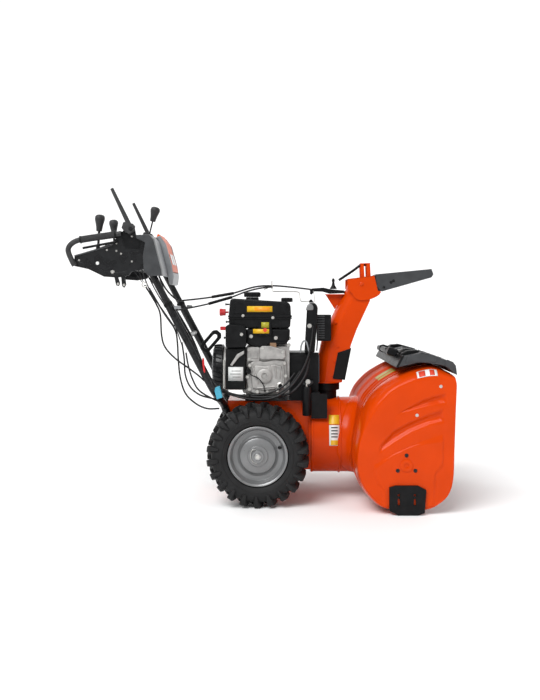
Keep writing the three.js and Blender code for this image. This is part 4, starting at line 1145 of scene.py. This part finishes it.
def hood():
    lower = sampled([(482, 841), (494, 838), (488, 826), (470, 814), (448, 806), (424, 802.5), (402, 804),
                     (386, 814), (374, 832), (357, 851)], 5)
    outline = [(357, 890), (467, 904)] + lower
    paint = LOOKS["orange_paint"]
    first = None
    for side, sign in (("right", -1), ("left", 1)):
        y0, y1 = between(sign * 60.5, sign * 57.5)
        cheek = prism("hood_%s_cheek" % side, outline, y0, y1, "deflector", paint, 1.2, 3)
        first = first or cheek
        for k, (x0, x1) in enumerate(((413, 430), (438, 456))):
            p0, p1 = between(sign * 30, sign * 26)
            post = prism("hood_%s_post_%d" % (side, k), [(x0 + 2, 893), (x1, 896), (x1 - 3, 954), (x0, 954)],
                         p0, p1, "deflector", paint, 1.0)
        turned("hood_%s_pivot" % side, [(0, 0), (9, 0), (9, 1.6), (6, 4), (0, 5)], (415, sign * 60.3, 869),
               (0, sign, 0), "deflector", paint, 32)
    top = [(357, 890), (467, 904), (467.6, 900.8), (357.6, 886.8)]
    roof = prism("hood_roof", top, -60.5, 60.5, "deflector", paint, 1.0)
    bridge = prism("hood_bridge", [(411, 951), (454, 953.5), (454, 956.5), (411, 955)], -31, 31, "deflector",
                   paint, 1.0)
    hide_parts("deflector_hood")


hood()
refined("deflector_tip", 2.0, None, 35, 3)
for side, sign in (("right", -1), ("left", 1)):
    bolts("tip_%s_screws" % side, [(506, sign * 57.2, 856), (536, sign * 57.2, 876), (546, sign * 57.2, 882)],
          (0, sign, 0), 4.4, "deflector", LOOKS["black_steel"], 2.6)


# ---------------------------------------------------------------- handlebars and console

def on_tube(z, y=-240):
    return (-185 - (z - 463) * 217 / 412, y, z)


def handlebar(side, sign):
    steel = LOOKS["black_steel"]
    foot = [(-126, -118, 318), (-134, -118, 350), (-146, -128, 385), (-166, -196, 425), (-185, -236, 463)]
    points = [(x, -sign * y, z) for x, y, z in foot + [on_tube(z) for z in (520, 600, 690, 792)]]
    lower = tube(side + "_handle_lower", points, 16, "chassis", steel, 32, 8)
    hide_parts(side + "_lower_handle_tube")
    upper = tube(side + "_handle_upper", [on_tube(z, sign * 240) for z in (770, 850, 930)], 13.5, "chassis",
                 steel,
                 32, 4)
    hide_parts(side + "_upper_handle_tube")
    turned(side + "_tube_collar", [(14, 0), (17.4, 0), (17.8, 2), (17.8, 12), (16, 14), (14, 14), (14, 0)],
           on_tube(781, sign * 240), (-217, 0, 412), "chassis", LOOKS["black_plastic"], 32)
    spots = [(on_tube(z)[0], sign * 255.6, z) for z in (748, 704, 652, 604)]
    bolts(side + "_handle_bolts", spots[::3], (0, sign, 0), 7, "chassis", LOOKS["black_steel"])
    bolts(side + "_handle_studs", spots[1:3], (0, sign, 0), 5, "chassis", LOOKS["black_steel"], 3)
    plate = [(-330, 782), (-306, 780), (-304, 769), (-330, 768)]
    y0, y1 = between(sign * 262, sign * 246)
    prism(side + "_cable_plate", plate, y0, y1, "chassis", LOOKS["silver_plastic"], 2)


def grip(side, sign):
    loop = [(-534, 1060), (-580, 1053), (-640, 1044.5), (-693, 1036), (-722.5, 1023), (-737.2, 1004),
            (-736.2, 985),
            (-725, 958), (-714, 937)]
    bow = tube(side + "_grip_bow", [(x, sign * 270, z) for x, z in loop], 10.4, "chassis", SOFT_BLACK, 28, 8)
    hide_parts(side + "_grip_loop")
    foam = [(x, sign * 270, z) for x, z in ((-556, 1056.6), (-600, 1050.2), (-640, 1044.5), (-690, 1036.5))]
    tube(side + "_grip_foam", foam, 13.4, "chassis", FOAM, 32, 8)
    for k, (x, z) in enumerate(((-556, 1056.6), (-690, 1036.5))):
        turned("%s_grip_collar_%d" % (side, k), [(10, -3), (14.4, -3), (15, -1), (15, 1), (14.4, 3), (10, 3),
                                                 (10, -3)],
               (x, sign * 270, z), (-1, 0, -0.15), "chassis", LOOKS["black_plastic"], 32)
    refined(side + "_control_bracket", 0.8)
    spots = [(-554, 1023), (-554, 994), (-536, 983), (-591, 997), (-698.6, 957.6), (-494, 953), (-494, 1049)]
    bolts(side + "_bracket_bolts", [(x, sign * 258.7, z) for x, z in spots], (0, sign, 0), 2.8, "chassis",
          ZINC, 3)
    bolts(side + "_bracket_big_bolt", [(-569, sign * 258.7, 911)], (0, sign, 0), 6.2, "chassis", ZINC, 5)
    turned(side + "_bracket_stud", [(0, 0), (6.5, 0), (6.5, 3), (5, 4), (0, 5)], (-627, sign * 258.7, 946),
           (0, sign, 0),
           "chassis", WHITE_LABEL, 32)
    flange = [(-716, sign * 260, 974), (-640, sign * 260, 996), (-574, sign * 260, 1016)]
    tube(side + "_bracket_flange", flange, 3.4, "chassis", LOOKS["grey_plastic"], 14)
    y0, y1 = between(sign * 259, sign * 262.5)
    web = [(-700, 940), (-660, 930), (-604, 902), (-552, 897), (-508, 905), (-512, 916), (-556, 910),
           (-600, 914),
           (-656, 944), (-698, 952)]
    prism(side + "_bracket_web", web, y0, y1, "chassis", LOOKS["black_steel"], 1.2)
    ear = [(-538, 1060), (-518, 1084), (-500, 1048), (-466, 1040), (-462, 1000), (-520, 1004)]
    y0, y1 = between(sign * 258.8, sign * 260.2)
    prism(side + "_bracket_ear", ear, y0, y1, "chassis", LOOKS["black_plastic"], 0.5)
    refined(side + "_trigger", 1.2)


def clutch_lever(side, sign, node, body):
    """A tapered bail lever with a moulded hub round its pivot."""
    line = spline([(-498, sign * 270, 1085), (-514, sign * 270, 1118), (-540, sign * 270, 1172),
                   (-566, sign * 270, 1226), (-570.5, sign * 270, 1235)], 8)
    count = len(line)
    radii = [9.0 - 2.6 * smoothstep(0.1, 0.9, i / (count - 1)) for i in range(count)]
    radii[-1] *= 0.55
    radii[-2] *= 0.85
    bar = place(node + "_bar", tube_mesh(node + "_bar", line, radii, 24), body, SOFT_BLACK, SLOT_OF[node])
    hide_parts(node)
    y0, y1 = between(sign * 261.4, sign * 279.5)
    hub = [(-524, 1106), (-512, 1104), (-488, 1098), (-479, 1088), (-484, 1066), (-502, 1056), (-522, 1070),
           (-532, 1082)]
    piece = prism(node + "_hub", hub, y0, y1, body, SOFT_BLACK, 4, 4)
    bolts(node + "_pivot_bolt", [(-496, sign * 279.5, 1078)], (0, sign, 0), 6, body, LOOKS["black_steel"], 3)


def knob_lever(node, pivot, top, stem, length):
    pivot, top = Vector(pivot), Vector(top)
    along = (top - pivot).normalized()
    body = BODY_OF[node]
    foot = top - along * (length - 6)
    rod = tube(node + "_stem", [pivot, (pivot + foot) / 2, foot], stem, body, LOOKS["black_steel"], 20, 3)
    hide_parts(node)
    head = [(0, 0), (9.5, 0), (11.4, 2), (12, 8), (13.4, 20), (16.4, 34), (19, 44), (19.9, 51), (18.8, 58),
            (14.6, 63.2), (8, 65.8), (0, 66.4)]
    scale = length / 66.0
    knob = turned(node + "_knob", [(r, h * scale) for r, h in head], top - along * length, along, body,
                  SOFT_BLACK, 48)
    base = pivot + along * (54 if node != "chute_lever" else 26)
    turned(node + "_boot", [(0, 0), (9, 0), (9, 3), (7.4, 9), (6.4, 14), (0, 14)], base, along, body,
           LOOKS["black_plastic"], 32)


def console_parts():
    refined("control_panel", 3.0, None, 35, 3)
    refined("console_shell", 5.0, None, 35, 4)
    refined("headlight_panel", 9.0, None, 30, 5)
    cheek = [(-475, 1054), (-471, 1040), (-439, 1026), (-448, 971), (-444, 915), (-424, 896), (-372, 896),
             (-375, 919), (-405, 1036), (-422, 1056)]
    for side, sign in (("right", -1), ("left", 1)):
        y0, y1 = between(sign * 283, sign * 289)
        prism("console_%s_cheek" % side, cheek, y0, y1, "chassis", LOOKS["grey_plastic"], 2.5, 3)
        # A thin silver strip along the cheek's front edge: a painted highlight line.
        edge_highlight = [(-424, 1056), (-421, 1056), (-403, 1038), (-372.5, 919), (-370, 896), (-374, 896),
                 (-377, 919),
                 (-407, 1035)]
        s0, s1 = between(sign * 283, sign * 290)
        prism("console_%s_strip" % side, edge_highlight, s0, s1, "chassis", LOOKS["silver_paint"], 1.2, 2)
        w0, w1 = between(sign * 102, sign * 112)
        wing = [(-421, 1056.5), (-404, 1064), (-380, 1030), (-356, 944), (-350, 905), (-356, 870),
                (-366, 866),
                (-372, 897), (-375, 919), (-405, 1037)]
        prism("fairing_%s_wing" % side, wing, w0, w1, "chassis", LOOKS["silver_plastic"], 4, 4)
    chin = [(-373, 918), (-352, 916), (-349, 900), (-353, 868), (-360, 863), (-368, 870)]
    prism("fairing_chin", chin, -103, 103, "chassis", LOOKS["silver_plastic"], 4, 4)
    lens = [(-371, 990), (-369.2, 992), (-356.8, 950), (-359, 948)]
    for k, y in enumerate((-36, 36)):
        prism("headlight_lens_%d" % k, lens, y - 26, y + 26, "chassis", HEADLIGHT_GLASS, 1, 3)
    lid = [(-500, 1038), (-470, 1054), (-424, 1058), (-424, 1054), (-468, 1048), (-498, 1033)]
    for k, (y0, y1) in enumerate(((-246, -30), (30, 246))):
        prism("console_lid_%d" % k, lid, y0, y1, "chassis", LOOKS["grey_plastic"], 1.5)
    bolts("console_screws", [(-430, sign * 150, 1058) for sign in (-1, 1)], (0, 0, 1), 4.5, "chassis", ZINC,
          3)


mirrored(handlebar)
mirrored(grip)
prism("hanging_arm_rear", [(-566, 906), (-552, 906), (-540, 868), (-545, 857), (-556, 860)], -256, -250,
      "chassis",
      LOOKS["black_steel"], 2)
prism("hanging_arm_front", [(-537, 902), (-521, 904), (-516, 862), (-524, 850), (-533, 858)], -258, -252,
      "chassis",
      LOOKS["black_steel"], 2)
bolts("hanging_arm_pins", [(-548, -256.2, 866), (-524.5, -258.2, 862)], (0, -1, 0), 3.6, "chassis", ZINC, 3)
clutch_lever("right", -1, "auger_clutch_lever", BODY_OF["auger_clutch_lever"])
clutch_lever("left", 1, "drive_clutch_lever", BODY_OF["drive_clutch_lever"])
knob_lever("speed_lever", (-640, -200, 950), (-628, -200, 1140), 5, 66)
knob_lever("deflector_lever", (-640, 200, 950), (-646, 200, 1155), 5, 66)
knob_lever("chute_lever", (-474, 0, 1024), (-434, 0, 1190), 3.2, 62)
console_parts()


for node in ("scraper_bar", "auger_shaft", "right_auger_flight", "left_auger_flight", "auger_gearbox",
             "impeller",
             "impeller_pulley", "engine_pulley", "drive_belt", "chassis_tub", "cross_bar"):
    refined(node)
